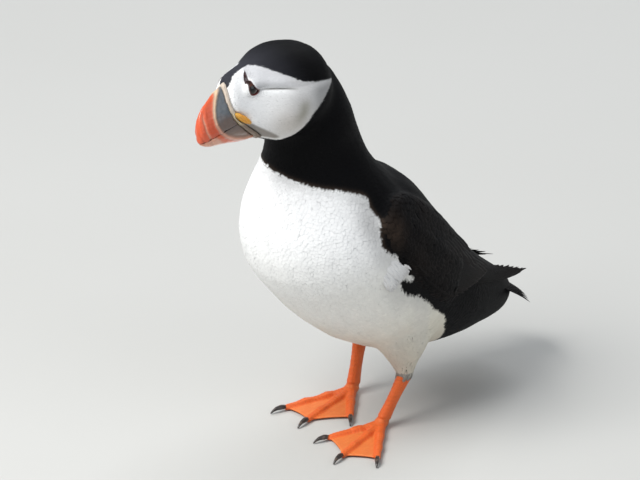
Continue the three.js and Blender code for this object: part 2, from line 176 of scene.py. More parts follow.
@dataclass(frozen=True)
class Places:
    """The head's own frame and the body's, in millimetres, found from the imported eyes.

    In the head's frame x is the bird's left, -y is forward and z is up. The body's frame is the row
    frame, moved so that it has the numbers of the solids' own source.
    """

    head_turn: tuple[float, float, float] = (-5, -9, 5)
    head_centre: tuple[float, float, float] = (0, -72, 190.5)
    eye_centre: tuple[float, float, float] = (6.4, -16.8, 7.4)

    @property
    def turn(self) -> Array:
        """The head's axes as columns."""
        x, y, z = (math.radians(a) for a in self.head_turn)
        made = Matrix.Rotation(z, 3, "Z") @ Matrix.Rotation(y, 3, "Y") @ Matrix.Rotation(x, 3, "X")
        return np.array(made)

    @property
    def origin(self) -> Array:
        """The middle of the skull in the row frame, in metres."""
        corners = [np.array(c) for side in ("left", "right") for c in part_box(f"eye_{side}")]
        _, ahead, up = self.eye_centre
        return np.mean(corners, axis=0) - MM * self.turn @ np.array([0, ahead, up])

    @property
    def shift(self) -> Array:
        """What the row frame adds to the numbers of the body's frame, in millimetres."""
        return self.origin / MM - np.array(self.head_centre)

    def to_head(self, p: Array) -> Array:
        """Points of the row frame in the head's frame."""
        return (p - self.origin) @ self.turn / MM

    def from_head(self, p: Array) -> Array:
        """Points of the head's frame in the row frame."""
        return self.origin + MM * np.asarray(p, float) @ self.turn.T

    def to_body(self, p: Array) -> Array:
        """Points of the row frame in the body's frame."""
        return p / MM - self.shift

    def from_body(self, p: Array) -> Array:
        """Points of the body's frame in the row frame."""
        return (np.asarray(p, float) + self.shift) * MM


# ---- Materials ----------------------------------------------------------------------------------


class Graph:
    """Adds nodes to one node tree and links them."""

    def __init__(self, tree: bpy.types.NodeTree) -> None:
        """Keeps the tree."""
        self.tree = tree

    def add(self, kind: str, settings: dict | None = None, **inputs: object) -> bpy.types.Node:
        """Adds a node.

        Args:
            kind: The node's type, without its ShaderNode prefix.
            settings: The node's own properties.
            inputs: Values or sockets for its inputs, by name, with _ for a space, or by in0, in1.

        Returns:
            The node.
        """
        node = self.tree.nodes.new(kind if kind.startswith("NodeGroup") else "ShaderNode" + kind)
        for name, value in (settings or {}).items():
            setattr(node, name, value)
        for name, value in inputs.items():
            key = int(name[2:]) if name[:2] == "in" and name[2:].isdigit() else name.replace("_", " ")
            if isinstance(value, bpy.types.NodeSocket):
                self.tree.links.new(value, node.inputs[key])
            else:
                node.inputs[key].default_value = value
        return node

    def math(self, operation: str, *values: object) -> bpy.types.NodeSocket:
        """A Math node's result."""
        inputs = {f"in{i}": v for i, v in enumerate(values)}
        return self.add("Math", {"operation": operation}, **inputs).outputs[0]

    def mix(self, factor: object, a: object, b: object, how: str = "MIX") -> bpy.types.NodeSocket:
        """Two colours mixed.

        Args:
            factor: The share of the second.
            a: The first.
            b: The second.
            how: The way they mix.

        Returns:
            The mixed colour.
        """
        node = self.add("Mix", {"data_type": "RGBA", "blend_type": how})
        for index, value in ((0, factor), (6, a), (7, b)):
            if isinstance(value, bpy.types.NodeSocket):
                self.tree.links.new(value, node.inputs[index])
            else:
                node.inputs[index].default_value = value
        return node.outputs[2]

    def scaled(self, value: object, low: float, high: float) -> bpy.types.NodeSocket:
        """A value from 0 to 1 brought to another range."""
        return self.add("MapRange", in0=value, in3=low, in4=high).outputs[0]

    def give(self, **results: bpy.types.NodeSocket) -> bpy.types.NodeTree:
        """Links a group's results to its output and returns the group's tree."""
        out = self.add("NodeGroupOutput")
        for name, socket in results.items():
            self.tree.links.new(socket, out.inputs[name])
        return self.tree


class Effects:
    """The node groups that several finishes share. Each is built once."""

    def __init__(self) -> None:
        """Builds the groups."""
        self.barbs = self._barbs()
        self.mottle = self._mottle()
        self.scales = self._scales()

    @staticmethod
    def _group(name: str, takes: dict[str, float], gives: tuple[str, ...]) -> Graph:
        """A new group with number inputs and number outputs.

        Args:
            name: The group's name.
            takes: The inputs and their usual values.
            gives: The outputs.

        Returns:
            A Graph on the group's tree.
        """
        tree = bpy.data.node_groups.new(name, "ShaderNodeTree")
        for label, usual in takes.items():
            socket = tree.interface.new_socket(label, in_out="INPUT", socket_type="NodeSocketFloat")
            socket.default_value = usual
        for label in gives:
            tree.interface.new_socket(label, in_out="OUTPUT", socket_type="NodeSocketFloat")
        return Graph(tree)

    def _barbs(self) -> bpy.types.NodeTree:
        """Barbs that slant from a feather's shaft, and the shaft itself."""
        g = self._group("feather_barbs", {"Barbs": 30.0, "Slant": 0.5}, ("Barb", "Shaft"))
        given = g.add("NodeGroupInput").outputs
        spot = g.add("SeparateXYZ", Vector=g.add("UVMap", {"uv_map": VANE}).outputs[0]).outputs
        across = g.math("ABSOLUTE", g.math("SUBTRACT", spot[0], 0.5))
        along = g.math("SUBTRACT", spot[1], g.math("MULTIPLY", across, given["Slant"]))
        wave = g.math("SINE", g.math("MULTIPLY", g.math("MULTIPLY", along, given["Barbs"]), 2 * math.pi))
        shaft = g.add("MapRange", in0=across, in1=0.0, in2=0.07, in3=1.0, in4=0.0).outputs[0]
        return g.give(Barb=g.scaled(g.math("MULTIPLY_ADD", wave, 0.5, 0.5), 0, 1), Shaft=shaft)

    def _mottle(self) -> bpy.types.NodeTree:
        """Cloudy patches and fine grain from the place in the piece."""
        g = self._group("mottle", {"Patch": 60.0, "Grain": 900.0}, ("Cloud", "Fine"))
        given = g.add("NodeGroupInput").outputs
        spot = g.add("TexCoord").outputs["Object"]
        cloud = g.add("TexNoise", Vector=spot, Scale=given["Patch"], Detail=3.0, Roughness=0.6)
        fine = g.add("TexNoise", Vector=spot, Scale=given["Grain"], Detail=2.0, Roughness=0.6)
        return g.give(Cloud=cloud.outputs[0], Fine=fine.outputs[0])

    def _scales(self) -> bpy.types.NodeTree:
        """Small rounded scales with sunk seams between them."""
        g = self._group("skin_scales", {"Size": 900.0}, ("Height", "Seam"))
        given = g.add("NodeGroupInput").outputs
        spot = g.add("TexCoord").outputs["Object"]
        cells = g.add("TexVoronoi", {"feature": "DISTANCE_TO_EDGE"}, Vector=spot, Scale=given["Size"])
        edge = cells.outputs[0]
        height = g.add("MapRange", in0=edge, in1=0.0, in2=0.25).outputs[0]
        seam = g.add("MapRange", in0=edge, in1=0.0, in2=0.08, in3=1.0, in4=0.0).outputs[0]
        return g.give(Height=height, Seam=seam)


@dataclass(frozen=True)
class Finish:
    """A surface whose colour is painted on the mesh and broken up by cloud and grain.

    Fields: roughness from and to, the share of cloud in the colour and its patches and grain per metre, its
    depth in metres, sheen, coat, specular level, then how many scales per metre or barbs along a feather
    there are and how deep they lie in metres, and the share of light that goes under the surface.
    """

    name: str
    rough: tuple[float, float] = (0.5, 0.7)
    cloud: float = 0.15
    patch: float = 70.0
    grain: float = 1500.0
    depth: float = 0.00005
    sheen: float = 0.0
    coat: float = 0.0
    specular: float = 0.5
    scales: float = 0.0
    scale_depth: float = 0.0001
    barbs: float = 0.0
    barb_depth: float = 0.00004
    subsurface: float = 0.0

    def make(self, effects: Effects) -> bpy.types.Material:
        """Builds the material.

        Args:
            effects: The shared node groups.

        Returns:
            The material.
        """
        material = bpy.data.materials.new(self.name)
        material.use_nodes = True
        material.node_tree.nodes.clear()
        g = Graph(material.node_tree)
        mottle = g.add("Group", {"node_tree": effects.mottle}, Patch=self.patch, Grain=self.grain).outputs
        tint = g.add("Attribute", {"attribute_name": TINT}).outputs["Color"]
        dark = g.mix(self.cloud, tint, BLACK)
        warm = g.mix(self.cloud * 0.6, tint, (1.0, 0.97, 0.92, 1.0), "SOFT_LIGHT")
        shade = g.mix(mottle["Cloud"], dark, warm)
        shade = g.mix(g.math("MULTIPLY", mottle["Fine"], self.cloud), shade, dark)
        height = g.math("MULTIPLY", mottle["Fine"], self.depth)
        rough = g.scaled(mottle["Fine"], *self.rough)
        if self.barbs:
            barbs = g.add("Group", {"node_tree": effects.barbs}, Barbs=self.barbs, Slant=0.55).outputs
            shade = g.mix(g.math("MULTIPLY", barbs["Barb"], 0.16), shade, dark)
            height = g.math("MULTIPLY_ADD", barbs["Barb"], self.barb_depth, height)
            height = g.math("MULTIPLY_ADD", barbs["Shaft"], self.barb_depth * 1.5, height)
        if self.scales:
            scales = g.add("Group", {"node_tree": effects.scales}, Size=self.scales).outputs
            seam = g.mix(0.45, tint, BLACK)
            shade = g.mix(g.math("MULTIPLY", scales["Seam"], 0.3), shade, seam)
            height = g.math("MULTIPLY_ADD", scales["Height"], self.scale_depth, height)
        bump = g.add("Bump", Distance=1.0, Strength=1.0, Height=height)
        shader = g.add("BsdfPrincipled", Base_Color=shade, Roughness=rough, Normal=bump.outputs[0])
        for socket, value in (
            ("Sheen Weight", self.sheen),
            ("Coat Weight", self.coat),
            ("Coat Roughness", 0.08),
            ("Specular IOR Level", self.specular),
            ("Subsurface Weight", self.subsurface),
            ("Subsurface Scale", 0.001),
        ):
            shader.inputs[socket].default_value = value
        out = g.add("OutputMaterial")
        g.tree.links.new(shader.outputs[0], out.inputs[0])
        return material


class Look(Enum):
    """The finishes of the bird."""

    WHITE = Finish("white_plumage", (0.65, 0.85), 0.03, 45, 2500, 4e-6, 0, 0, 0.2, barbs=16, barb_depth=6e-6)
    DARK = Finish("dark_plumage", (0.5, 0.7), 0.2, 60, 2500, 4e-6, 0, 0, 0.06, barbs=16, barb_depth=6e-6)
    DOWN = Finish("down_under_feathers", (0.75, 0.95), 0.15, 80, 1800, 0.0001, sheen=0.1, specular=0.2)
    QUILL = Finish("flight_feathers", (0.45, 0.62), 0.25, 50, 2200, 4e-6, 0, 0, 0.08, barbs=90, barb_depth=2e-5)
    HORN = Finish("bill_horn", (0.26, 0.42), 0.12, 160, 1600, 3e-5, coat=0.15, subsurface=0.05)
    CERE = Finish("cere_skin", (0.45, 0.65), 0.16, 200, 1500, 0.00004, scales=2200, scale_depth=0.00008)
    PAD = Finish("rosette_skin", (0.38, 0.6), 0.16, 250, 1800, 0.00005, scales=1900, subsurface=0.1)
    LID = Finish("lid_skin", (0.35, 0.55), 0.15, 300, 2500, 0.00003, scales=3200, scale_depth=0.00004)
    PLATE = Finish("eye_plate_horn", (0.4, 0.6), 0.2, 300, 2200, 0.00004)
    EYE = Finish("eyeball", (0.05, 0.12), 0.1, 400, 2500, 0.0, coat=0.35, specular=0.35)
    FOOT = Finish("foot_skin", (0.4, 0.62), 0.16, 120, 1800, 4e-5, 0, 0, 0.5, 1250, 1.2e-4, subsurface=0.08)
    CLAW = Finish("claw_horn", (0.25, 0.45), 0.25, 200, 2000, 0.00003, coat=0.2)


class Wardrobe:
    """Makes each material once and hands it out."""

    def __init__(self) -> None:
        """Builds the shared groups."""
        self.effects = Effects()
        self.made: dict[Look, bpy.types.Material] = {}

    def get(self, look: Look) -> bpy.types.Material:
        """The material of a look."""
        if look not in self.made:
            self.made[look] = look.value.make(self.effects)
        return self.made[look]


# ---- Meshes -------------------------------------------------------------------------------------


def table(rows: bpy.types.bpy_prop_collection, name: str, width: int, kind: type = float) -> Array:
    """One property of all of a mesh's parts.

    Args:
        rows: The parts, such as its vertices.
        name: The property.
        width: How many numbers each part has.
        kind: Their kind.

    Returns:
        A row for each part.
    """
    made = np.zeros(len(rows) * width, kind)
    rows.foreach_get(name, made)
    return made.reshape(-1, width)


def nearby(points: Array) -> KDTree:
    """A tree for finding the points near a place.

    Args:
        points: The points.

    Returns:
        The tree, which answers with their numbers.
    """
    tree = KDTree(len(points))
    for i, point in enumerate(points.tolist()):
        tree.insert(point, i)
    tree.balance()
    return tree


@dataclass
class Surface:
    """A mesh as tables: points, edges, faces as triangles, and smooth normals."""

    points: Array
    edges: Array
    triangles: Array

    @classmethod
    def of(cls, mesh: bpy.types.Mesh) -> "Surface":
        """Reads a Blender mesh.

        Args:
            mesh: The mesh.

        Returns:
            Its points, edges and triangles.
        """
        mesh.calc_loop_triangles()
        points, edges = table(mesh.vertices, "co", 3), table(mesh.edges, "vertices", 2, np.int64)
        return cls(points, edges, table(mesh.loop_triangles, "vertices", 3, np.int64))

    def spread(self, values: Array) -> Array:
        """The mean of each point's neighbours.

        Args:
            values: One row for each point.

        Returns:
            The rows, evened out.
        """
        a, b = self.edges.T
        n = len(self.points)
        count = np.maximum(np.bincount(a, minlength=n) + np.bincount(b, minlength=n), 1)
        columns = values.reshape(n, -1).T
        total = [np.bincount(a, c[b], n) + np.bincount(b, c[a], n) for c in columns]
        return (np.array(total) / count).T.reshape(values.shape)

    def relax(self, rounds: int, share: Array | float = 0.5, hold: float = 0.0) -> None:
        """Smooths the points.

        Args:
            rounds: How many passes.
            share: How far a point goes to the middle of its neighbours.
            hold: How much of each pass the next one takes back, so that the shape keeps its volume.
        """
        weight = np.broadcast_to(np.asarray(share, float), (len(self.points),))[:, None]
        for _ in range(rounds):
            self.points = self.points + weight * (self.spread(self.points) - self.points)
            if hold:
                self.points = self.points - hold * weight * (self.spread(self.points) - self.points)

    @property
    def normals(self) -> Array:
        """Smooth normals of the points."""
        a, b, c = (self.points[self.triangles[:, k]] for k in range(3))
        face = np.cross(b - a, c - a)
        total = np.zeros_like(self.points)
        for k in range(3):
            for axis in range(3):
                total[:, axis] += np.bincount(self.triangles[:, k], face[:, axis], len(self.points))
        return unit(total)

    def write(self, mesh: bpy.types.Mesh) -> None:
        """Puts the points back into the mesh they came from."""
        mesh.vertices.foreach_set("co", self.points.astype(np.float32).ravel())
        mesh.update()

    def tree(self) -> BVHTree:
        """A tree for finding the nearest place on the surface."""
        return BVHTree.FromPolygons(self.points.tolist(), self.triangles.tolist())


def cad_copy(names: Sequence[str], swell: float = 0.0) -> bpy.types.Mesh:
    """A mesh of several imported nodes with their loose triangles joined, each swollen by a little.

    Args:
        names: The nodes.
        swell: How far every point moves outwards, in metres.

    Returns:
        The new mesh.
    """
    whole = bmesh.new()
    for name in names:
        part = bmesh.new()
        part.from_mesh(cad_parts[name].data)
        bmesh.ops.remove_doubles(part, verts=part.verts, dist=1e-6)
        part.normal_update()
        for vert in part.verts:
            vert.co += vert.normal * swell
        step = bpy.data.meshes.new("step")
        part.to_mesh(step)
        part.free()
        whole.from_mesh(step)
        bpy.data.meshes.remove(step)
    made = bpy.data.meshes.new("copy")
    whole.to_mesh(made)
    whole.free()
    return made


def cad_tree(*names: str) -> BVHTree:
    """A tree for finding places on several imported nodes."""
    copy = cad_copy(names)
    tree = Surface.of(copy).tree()
    bpy.data.meshes.remove(copy)
    return tree


def remeshed(mesh: bpy.types.Mesh, voxel: float) -> bpy.types.Mesh:
    """One closed mesh around a mesh of closed shells, in even squares.

    Args:
        mesh: The shells, which are used up.
        voxel: The side of the squares, in metres.

    Returns:
        The largest closed body of the new mesh.
    """
    obj = bpy.data.objects.new("step", mesh)
    bpy.context.scene.collection.objects.link(obj)
    tool = obj.modifiers.new("union", "REMESH")
    tool.mode = "VOXEL"
    tool.voxel_size = voxel
    tool.use_smooth_shade = True
    made = bpy.data.meshes.new_from_object(obj.evaluated_get(bpy.context.evaluated_depsgraph_get()))
    bpy.data.objects.remove(obj)
    bpy.data.meshes.remove(mesh)
    surface = Surface.of(made)
    label = np.arange(len(surface.points))
    a, b = surface.edges.T
    while True:
        low = np.minimum(label[a], label[b])
        before = label.copy()
        np.minimum.at(label, a, low)
        np.minimum.at(label, b, low)
        label = label[label]
        if (label == before).all():
            break
    keep = label == np.bincount(label).argmax()
    if not keep.all():
        bm = bmesh.new()
        bm.from_mesh(made)
        bm.verts.ensure_lookup_table()
        bmesh.ops.delete(bm, geom=[bm.verts[i] for i in np.flatnonzero(~keep)], context="VERTS")
        bm.to_mesh(made)
        bm.free()
    return made


def paint(mesh: bpy.types.Mesh, tint: Array) -> None:
    """Stores a colour for every point of a mesh.

    Args:
        mesh: The mesh.
        tint: A linear colour for each point.
    """
    attribute = mesh.attributes.get(TINT) or mesh.attributes.new(TINT, "FLOAT_COLOR", "POINT")
    rows = np.ones((len(mesh.vertices), 4), np.float32)
    rows[:, :3] = tint
    attribute.data.foreach_set("color", rows.ravel())


def piece(
    name: str, mesh: bpy.types.Mesh, material: bpy.types.Material, slot: str, *stands_for: str
) -> bpy.types.Object:
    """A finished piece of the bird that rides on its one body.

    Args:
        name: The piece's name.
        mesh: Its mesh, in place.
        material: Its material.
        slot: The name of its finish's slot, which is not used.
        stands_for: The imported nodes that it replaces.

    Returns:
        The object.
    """
    mesh.name = name
    mesh.materials.clear()
    mesh.materials.append(material)
    if not mesh.has_custom_normals:
        mesh.shade_smooth()
    obj = bpy.data.objects.new(name, mesh)
    bpy.context.scene.collection.objects.link(obj)
    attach(obj, "root")
    if stands_for:
        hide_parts(*stands_for)
    mesh.calc_loop_triangles()
    log.info("%s: %d triangles", name, len(mesh.loop_triangles))
    return obj


# ---- The markings -------------------------------------------------------------------------------


class Outline:
    """A smooth closed outline in a plane, with the distance from it kept on a fine grid."""

    def __init__(self, corners: tuple, step: float, reach: float = 12.0) -> None:
        """Rounds the corners and measures the distances.

        Args:
            corners: The corners of the outline, two numbers each.
            step: The side of the grid's squares.
            reach: How far the grid goes beyond the outline.
        """
        ring = np.array(corners, float)
        for _ in range(3):
            after = np.roll(ring, -1, axis=0)
            ring = np.stack([0.78 * ring + 0.22 * after, 0.22 * ring + 0.78 * after], 1).reshape(-1, 2)
        self.ring = ring
        self.step = step
        self.low = ring.min(0) - reach
        count = np.ceil((ring.max(0) + reach - self.low) / step).astype(int) + 1
        across, up = (self.low[k] + step * np.arange(count[k]) for k in range(2))
        spots = np.stack(np.meshgrid(across, up, indexing="ij"), -1)
        self.field = signed_distance(spots.reshape(-1, 2), ring).reshape(count)

    def _cell(self, p: Array, field: Array) -> Array:
        """A field's values at points of the plane.

        Args:
            p: The points.
            field: The field.

        Returns:
            A value for each point.
        """
        at = np.clip((p - self.low) / self.step, 0, np.array(self.field.shape) - 1.001)
        i, j = at.astype(int).T
        u, v = (at - at.astype(int)).T
        near = field[i, j] * (1 - u) + field[i + 1, j] * u
        return near * (1 - v) + (field[i, j + 1] * (1 - u) + field[i + 1, j + 1] * u) * v

    def distance(self, p: Array) -> Array:
        """How far points lie outside the outline, negative inside."""
        return self._cell(p, self.field)

    def away(self, p: Array) -> Array:
        """The direction straight away from the outline at points."""
        across, up = np.gradient(self.field, self.step)
        return unit(np.stack([self._cell(p, across), self._cell(p, up)], 1))


def shade(code: str) -> Array:
    """A dataclass field that holds the linear colour of a six-digit code."""
    return field(default_factory=lambda: colour(code))


# What the plumage is at a point: dark, the white of the face or the white of the body.
DARK, FACE, BODY = range(3)


@dataclass(frozen=True)
class Markings:
    """Where the plumage is white, dark or grey, the same for the skin and for every feather."""

    places: Places
    # The white face from the side, in the head's frame: y, z.
    face: Outline = field(
        default_factory=lambda: Outline(
            (
                (-40, 12), (-30, 13), (-26.5, 13.4), (-24, 15), (-21.2, 16.1), (-17.3, 17), (-14.4, 17.4),
                (-12, 17.1), (-9.7, 16.6), (-7.7, 15.8), (-5.3, 14.1), (-2.1, 12), (1.6, 9.8), (5.4, 7.2),
                (10.4, 5.7), (15.5, 4.6), (20.6, 4), (26, 3), (32, 1.9), (26.5, 0.4), (22, -1.4), (19, -4),
                (15.2, -6.7), (11.6, -9.4), (9.6, -12.4), (7.8, -15.3), (6, -18), (3, -20.4), (-1, -21.9),
                (-8, -20.4), (-20, -18), (-40, -16),
            ),
            0.25,
        )
    )
    # The white breast, belly and flank from the side, in the body's frame: y, z.
    belly: Outline = field(
        default_factory=lambda: Outline(
            (
                (-110, 146), (-80, 145), (-66, 144.7), (-61, 144.3), (-57, 143.2), (-52, 142.4), (-47, 140.9),
                (-42.5, 138.8), (-37, 136.6), (-35.4, 134), (-35.9, 131), (-34.6, 127.6), (-33.2, 124),
                (-34.2, 120.5), (-34.5, 115.6), (-34.4, 111), (-31.6, 108.2), (-26.8, 105.6), (-23, 102.4),
                (-20, 98.3), (-17.4, 93.9), (-14.3, 88.6), (-17, 88.4), (-21, 91.2), (-23.4, 91), (-22.6, 86.3),
                (-19.6, 82.5), (-15.2, 80.2), (-10.4, 79), (-6.8, 76.2), (0.1, 69.4), (3.2, 66), (8.4, 62.4),
                (12.9, 58.3), (16.2, 51.2), (21.5, 42.5), (25, 30), (22, 15), (0, -10), (-60, -15), (-110, 20),
            ),
            0.6,
        )
    )
    vent: Outline = field(
        default_factory=lambda: Outline(((14, 45), (26, 34), (60, 33), (86, 30), (84, 10), (14, 10)), 0.6)
    )
    vent_reach: float = 13.0
    # The dark blaze that runs down the forehead to the bill: z in the head's frame and half the width there.
    blaze: tuple = ((5, 9, 10.5, 13, 15.6, 17.2), (-3, 1.8, 3, 3.1, 2.4, 2.6))
    # The fold that runs back from the eye, in the head's frame: y, z.
    crease: tuple = ((-14, 5.8), (-12.2, 6.2), (-7.1, 5.6), (-1.5, 4.7), (3.2, 3.6))

    white: Array = shade("f4f5f6")
    cream: Array = shade("dcd9cc")
    low_belly_grey: Array = shade("c2baab")
    lobe: Array = shade("c9cacd")
    pale_grey: Array = shade("c4c3c3")
    cheek: Array = shade("c3bab0")
    olive: Array = shade("85826f")
    black: Array = shade("09090b")
    cap: Array = shade("3d3e45")
    brown: Array = shade("171210")
    worn: Array = shade("4f4239")
    dusk: Array = shade("77726e")
    strip: Array = shade("8f8983")
    ashy: Array = shade("8d8d8d")

    def face_edge(self, p: Array) -> Array:
        """How far points lie outside the white face, in millimetres.

        Args:
            p: Points of the row frame.

        Returns:
            The distances, below 0 inside.
        """
        head = self.places.to_head(p)
        away = np.linalg.norm(head, axis=1) - 38
        blaze = np.interp(head[:, 2], *self.blaze) - np.abs(head[:, 0])
        return np.maximum.reduce([self.face.distance(head[:, 1:]), away, blaze])

    def belly_edge(self, p: Array) -> Array:
        """How far points lie outside the white underside, in millimetres.

        Args:
            p: Points of the row frame.

        Returns:
            The distances, below 0 inside.
        """
        body = self.places.to_body(p)
        # The collar sits a little higher on the bird's right.
        lean = 0.1 * np.clip(body[:, 0] - 12, -28, 10) * ramp(-body[:, 1], 36, 54)
        side = body[:, 1:] + np.stack([np.zeros(len(p)), lean], 1)
        under = np.maximum(self.vent.distance(body[:, 1:]), np.abs(body[:, 0]) - self.vent_reach)
        return np.minimum(self.belly.distance(side), under)

    def _face_tint(self, head: Array) -> Array:
        """The colours of the white face at points of the head's frame, with painted shade in the fold behind
        the eye.
        """
        y, z = head[:, 1], head[:, 2]
        fold = np.interp(y, *zip(*self.crease))
        above = z - fold
        made = blend(self.white, self.lobe, 0.95 * ramp(above, 0.1, 1.4) * ramp(y, -17.4, -15.4))
        made = blend(made, self.pale_grey, 0.55 * ramp(y, -5, 8))
        made = blend(made, self.ashy, 0.75 * ramp(y, 6, 17) * ramp(z, 6, 0))
        made = blend(made, self.cheek, 0.7 * hump(np.hypot((y + 1) * 0.9, z + 12.5), 0, 9))
        made = blend(made, self.pale_grey, 0.5 * hump(np.hypot(y - 4, z + 4), 0, 7))
        spot = line_distance(head[:, 1:], np.array([(5.8, -4.2), (5.0, -8.0), (3.6, -12.4)]))
        made = blend(made, self.olive, 0.6 * hump(spot, 0, 3.1) * (1 - 0.6 * ramp(np.abs(z + 7.5), 1.5, 6)))
        strip = line_distance(head[:, 1:], np.array([(-20, -9.9), (-12, -15.2), (-3, -20.7)]))
        strip = ramp(strip, 1.9, 0.9) * ramp(y, -20.5, -18.5) * ramp(-y, 2, 5)
        made = blend(made, self.strip, 0.95 * strip)
        # Painted shade: a dark line along the bottom of the fold behind the eye.
        line = line_distance(head[:, 1:], np.array(self.crease, float))
        deep = 0.75 * ramp(y, -13.5, -8) * ramp(-y, -4, 1) + 0.25 * ramp(y, -14, -13)
        return blend(made, self.dusk, 0.8 * hump(line, 0, 0.42) * deep)

    def _white_tint(self, body: Array) -> Array:
        """The colours of the white underside at points of the body's frame, with painted shade to its lower
        rear and along its edge on the sides.
        """
        # The belly turns creamier and greyer towards its lower rear: partly its own cream, partly painted shade
        # where the body turns from the light.
        low = ramp(body[:, 2] + 5 * ripple(body, 44, 3), 128, 52)
        side = ramp(body[:, 1] + 5 * ripple(body, 34, 4), -62, 10)
        made = blend(self.white, self.cream, np.clip(low * (0.5 + 0.5 * side), 0, 1))
        made = blend(made, self.pale_grey, 0.35 * np.clip(0.3 + ripple(body, 19, 5), 0, 1) * side)
        # Greyer towards the bottom of the belly.
        made = blend(made, self.low_belly_grey, 0.7 * ramp(body[:, 2] + 3 * ripple(body, 16, 6), 66, 34))
        # Painted shade: a grey patch below the end of the collar, by the bend of the wing.
        made = blend(made, self.ashy, 0.5 * hump(np.hypot(body[:, 1] + 39, (body[:, 2] - 125) * 0.7), 0, 7))
        # Painted shade: the white greys near its edge along the upper sides, where the body turns from the
        # light.
        near = ramp(self.belly_edge(self.places.from_body(body)), -13, -1) * ramp(body[:, 1], -46, -36)
        return blend(made, self.ashy, 0.32 * near * ramp(body[:, 2], 60, 85))

    def _dark_tint(self, p: Array, head: Array, body: Array, wing: Array) -> Array:
        """The colours of the dark plumage, with painted sheen on the front of the crown.

        Args:
            p: The points.
            head: The same in the head's frame.
            body: The same in the body's frame.
            wing: Whether they are on a wing.

        Returns:
            A colour for each point.
        """
        # The front and top of the crown are a lighter charcoal: partly the cap's own grey, partly painted
        # sheen.
        front = ramp(head[:, 1], 14, -20) * ramp(head[:, 2], -4, 8) * (np.linalg.norm(head, axis=1) < 42)
        made = blend(self.black, self.cap, 0.9 * front)
        chin = ramp(-head[:, 2], 17, 21) * ramp(-head[:, 1], -2, 6) * (np.linalg.norm(head, axis=1) < 34)
        made = blend(made, self.cap, 0.85 * chin)
        bend = hump(np.hypot(body[:, 1] + 28.5, (body[:, 2] - 119) * 0.8), 0, 5.5)
        made = blend(made, self.worn, np.clip(0.75 * wing * bend * (0.8 + 0.3 * ripple(body, 9, 7)), 0, 1))
        fore = ramp(body[:, 1], 50, -30)
        made = blend(made, self.brown, np.clip(wing * 0.35 * (1 + ripple(body, 17, 8)) * fore, 0, 1))
        collar = hump(np.maximum(self.belly_edge(p), 0), 0, 1.3) * (body[:, 1] < -30)
        return blend(made, self.worn, 0.45 * collar)

    def tints(self, p: Array, rag: Array | float, wing: Array, leg: Array) -> tuple[Array, Array]:
        """The plumage at points.

        Args:
            p: The points, in the row frame.
            rag: Millimetres added to the distance from each edge, so that feathers cross it unevenly.
            wing: 1 where the wing is, where the dark is browner.
            leg: 1 where the thigh is, which stays white all round.

        Returns:
            The colour of each point, and whether it is DARK, FACE or BODY.
        """
        head, body = self.places.to_head(p), self.places.to_body(p)
        in_face = self.face_edge(p) + 0.5 * rag < 0
        in_belly = ((self.belly_edge(p) + rag < 0) & ~(wing > 0.5)) | (leg > 0.5)
        kind = np.where(in_face, FACE, np.where(in_belly, BODY, DARK))
        made = np.zeros((len(p), 3))
        made[kind == DARK] = self._dark_tint(*(v[kind == DARK] for v in (p, head, body, wing)))
        made[kind == FACE] = self._face_tint(head[kind == FACE])
        made[kind == BODY] = self._white_tint(body[kind == BODY])
        return made, kind


# ---- The skin -----------------------------------------------------------------------------------


class Region(Enum):
    """The lengths of the feathered body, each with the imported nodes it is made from."""

    HEAD = ("head",)
    NECK = ("neck",)
    TRUNK = ("trunk",)
    WING = ("wing_left", "wing_right")
    THIGH = ("thigh_left", "thigh_right")


# Each region's number in tables.
HEAD, NECK, TRUNK, WING, THIGH = range(len(Region))
EYE_NODES = ("eye_left", "eye_right")


@dataclass
class Eye:
    """The form of the left eye in the head's frame, in millimetres; the right one mirrors it."""

    centre: tuple = (6.4, -16.8, 7.4)
    radius: float = 4.3
    lid: float = 0.34  # how far the lids stand off the eyeball
    # The slit between the lids, seen from the side: y, z. It rises in a point over the eye.
    slit: Outline = field(
        default_factory=lambda: Outline(
            (
                (-16.4, 15), (-17.5, 14.2), (-18.3, 13.1), (-19, 11.7), (-19.6, 9.9), (-20, 8), (-19.8, 6.7),
                (-19.3, 5.6), (-18.4, 4.7), (-17.3, 4.5), (-16, 4.7), (-14.6, 5.1), (-12.9, 6.1), (-14.8, 6.5),
                (-16.2, 7.3), (-17.2, 8.4), (-17.8, 9.8), (-17.9, 11.2), (-17.6, 12.4), (-17, 13.7),
            ),
            0.1,
            9.0,
        )
    )
    rims: dict = field(default_factory=dict)

    def gap(self, head: Array) -> Array:
        """How far points of the head's frame lie outside the slit of their own side."""
        return np.where(np.abs(head[:, 0]) > 3.0, self.slit.distance(head[:, 1:]), 20.0)


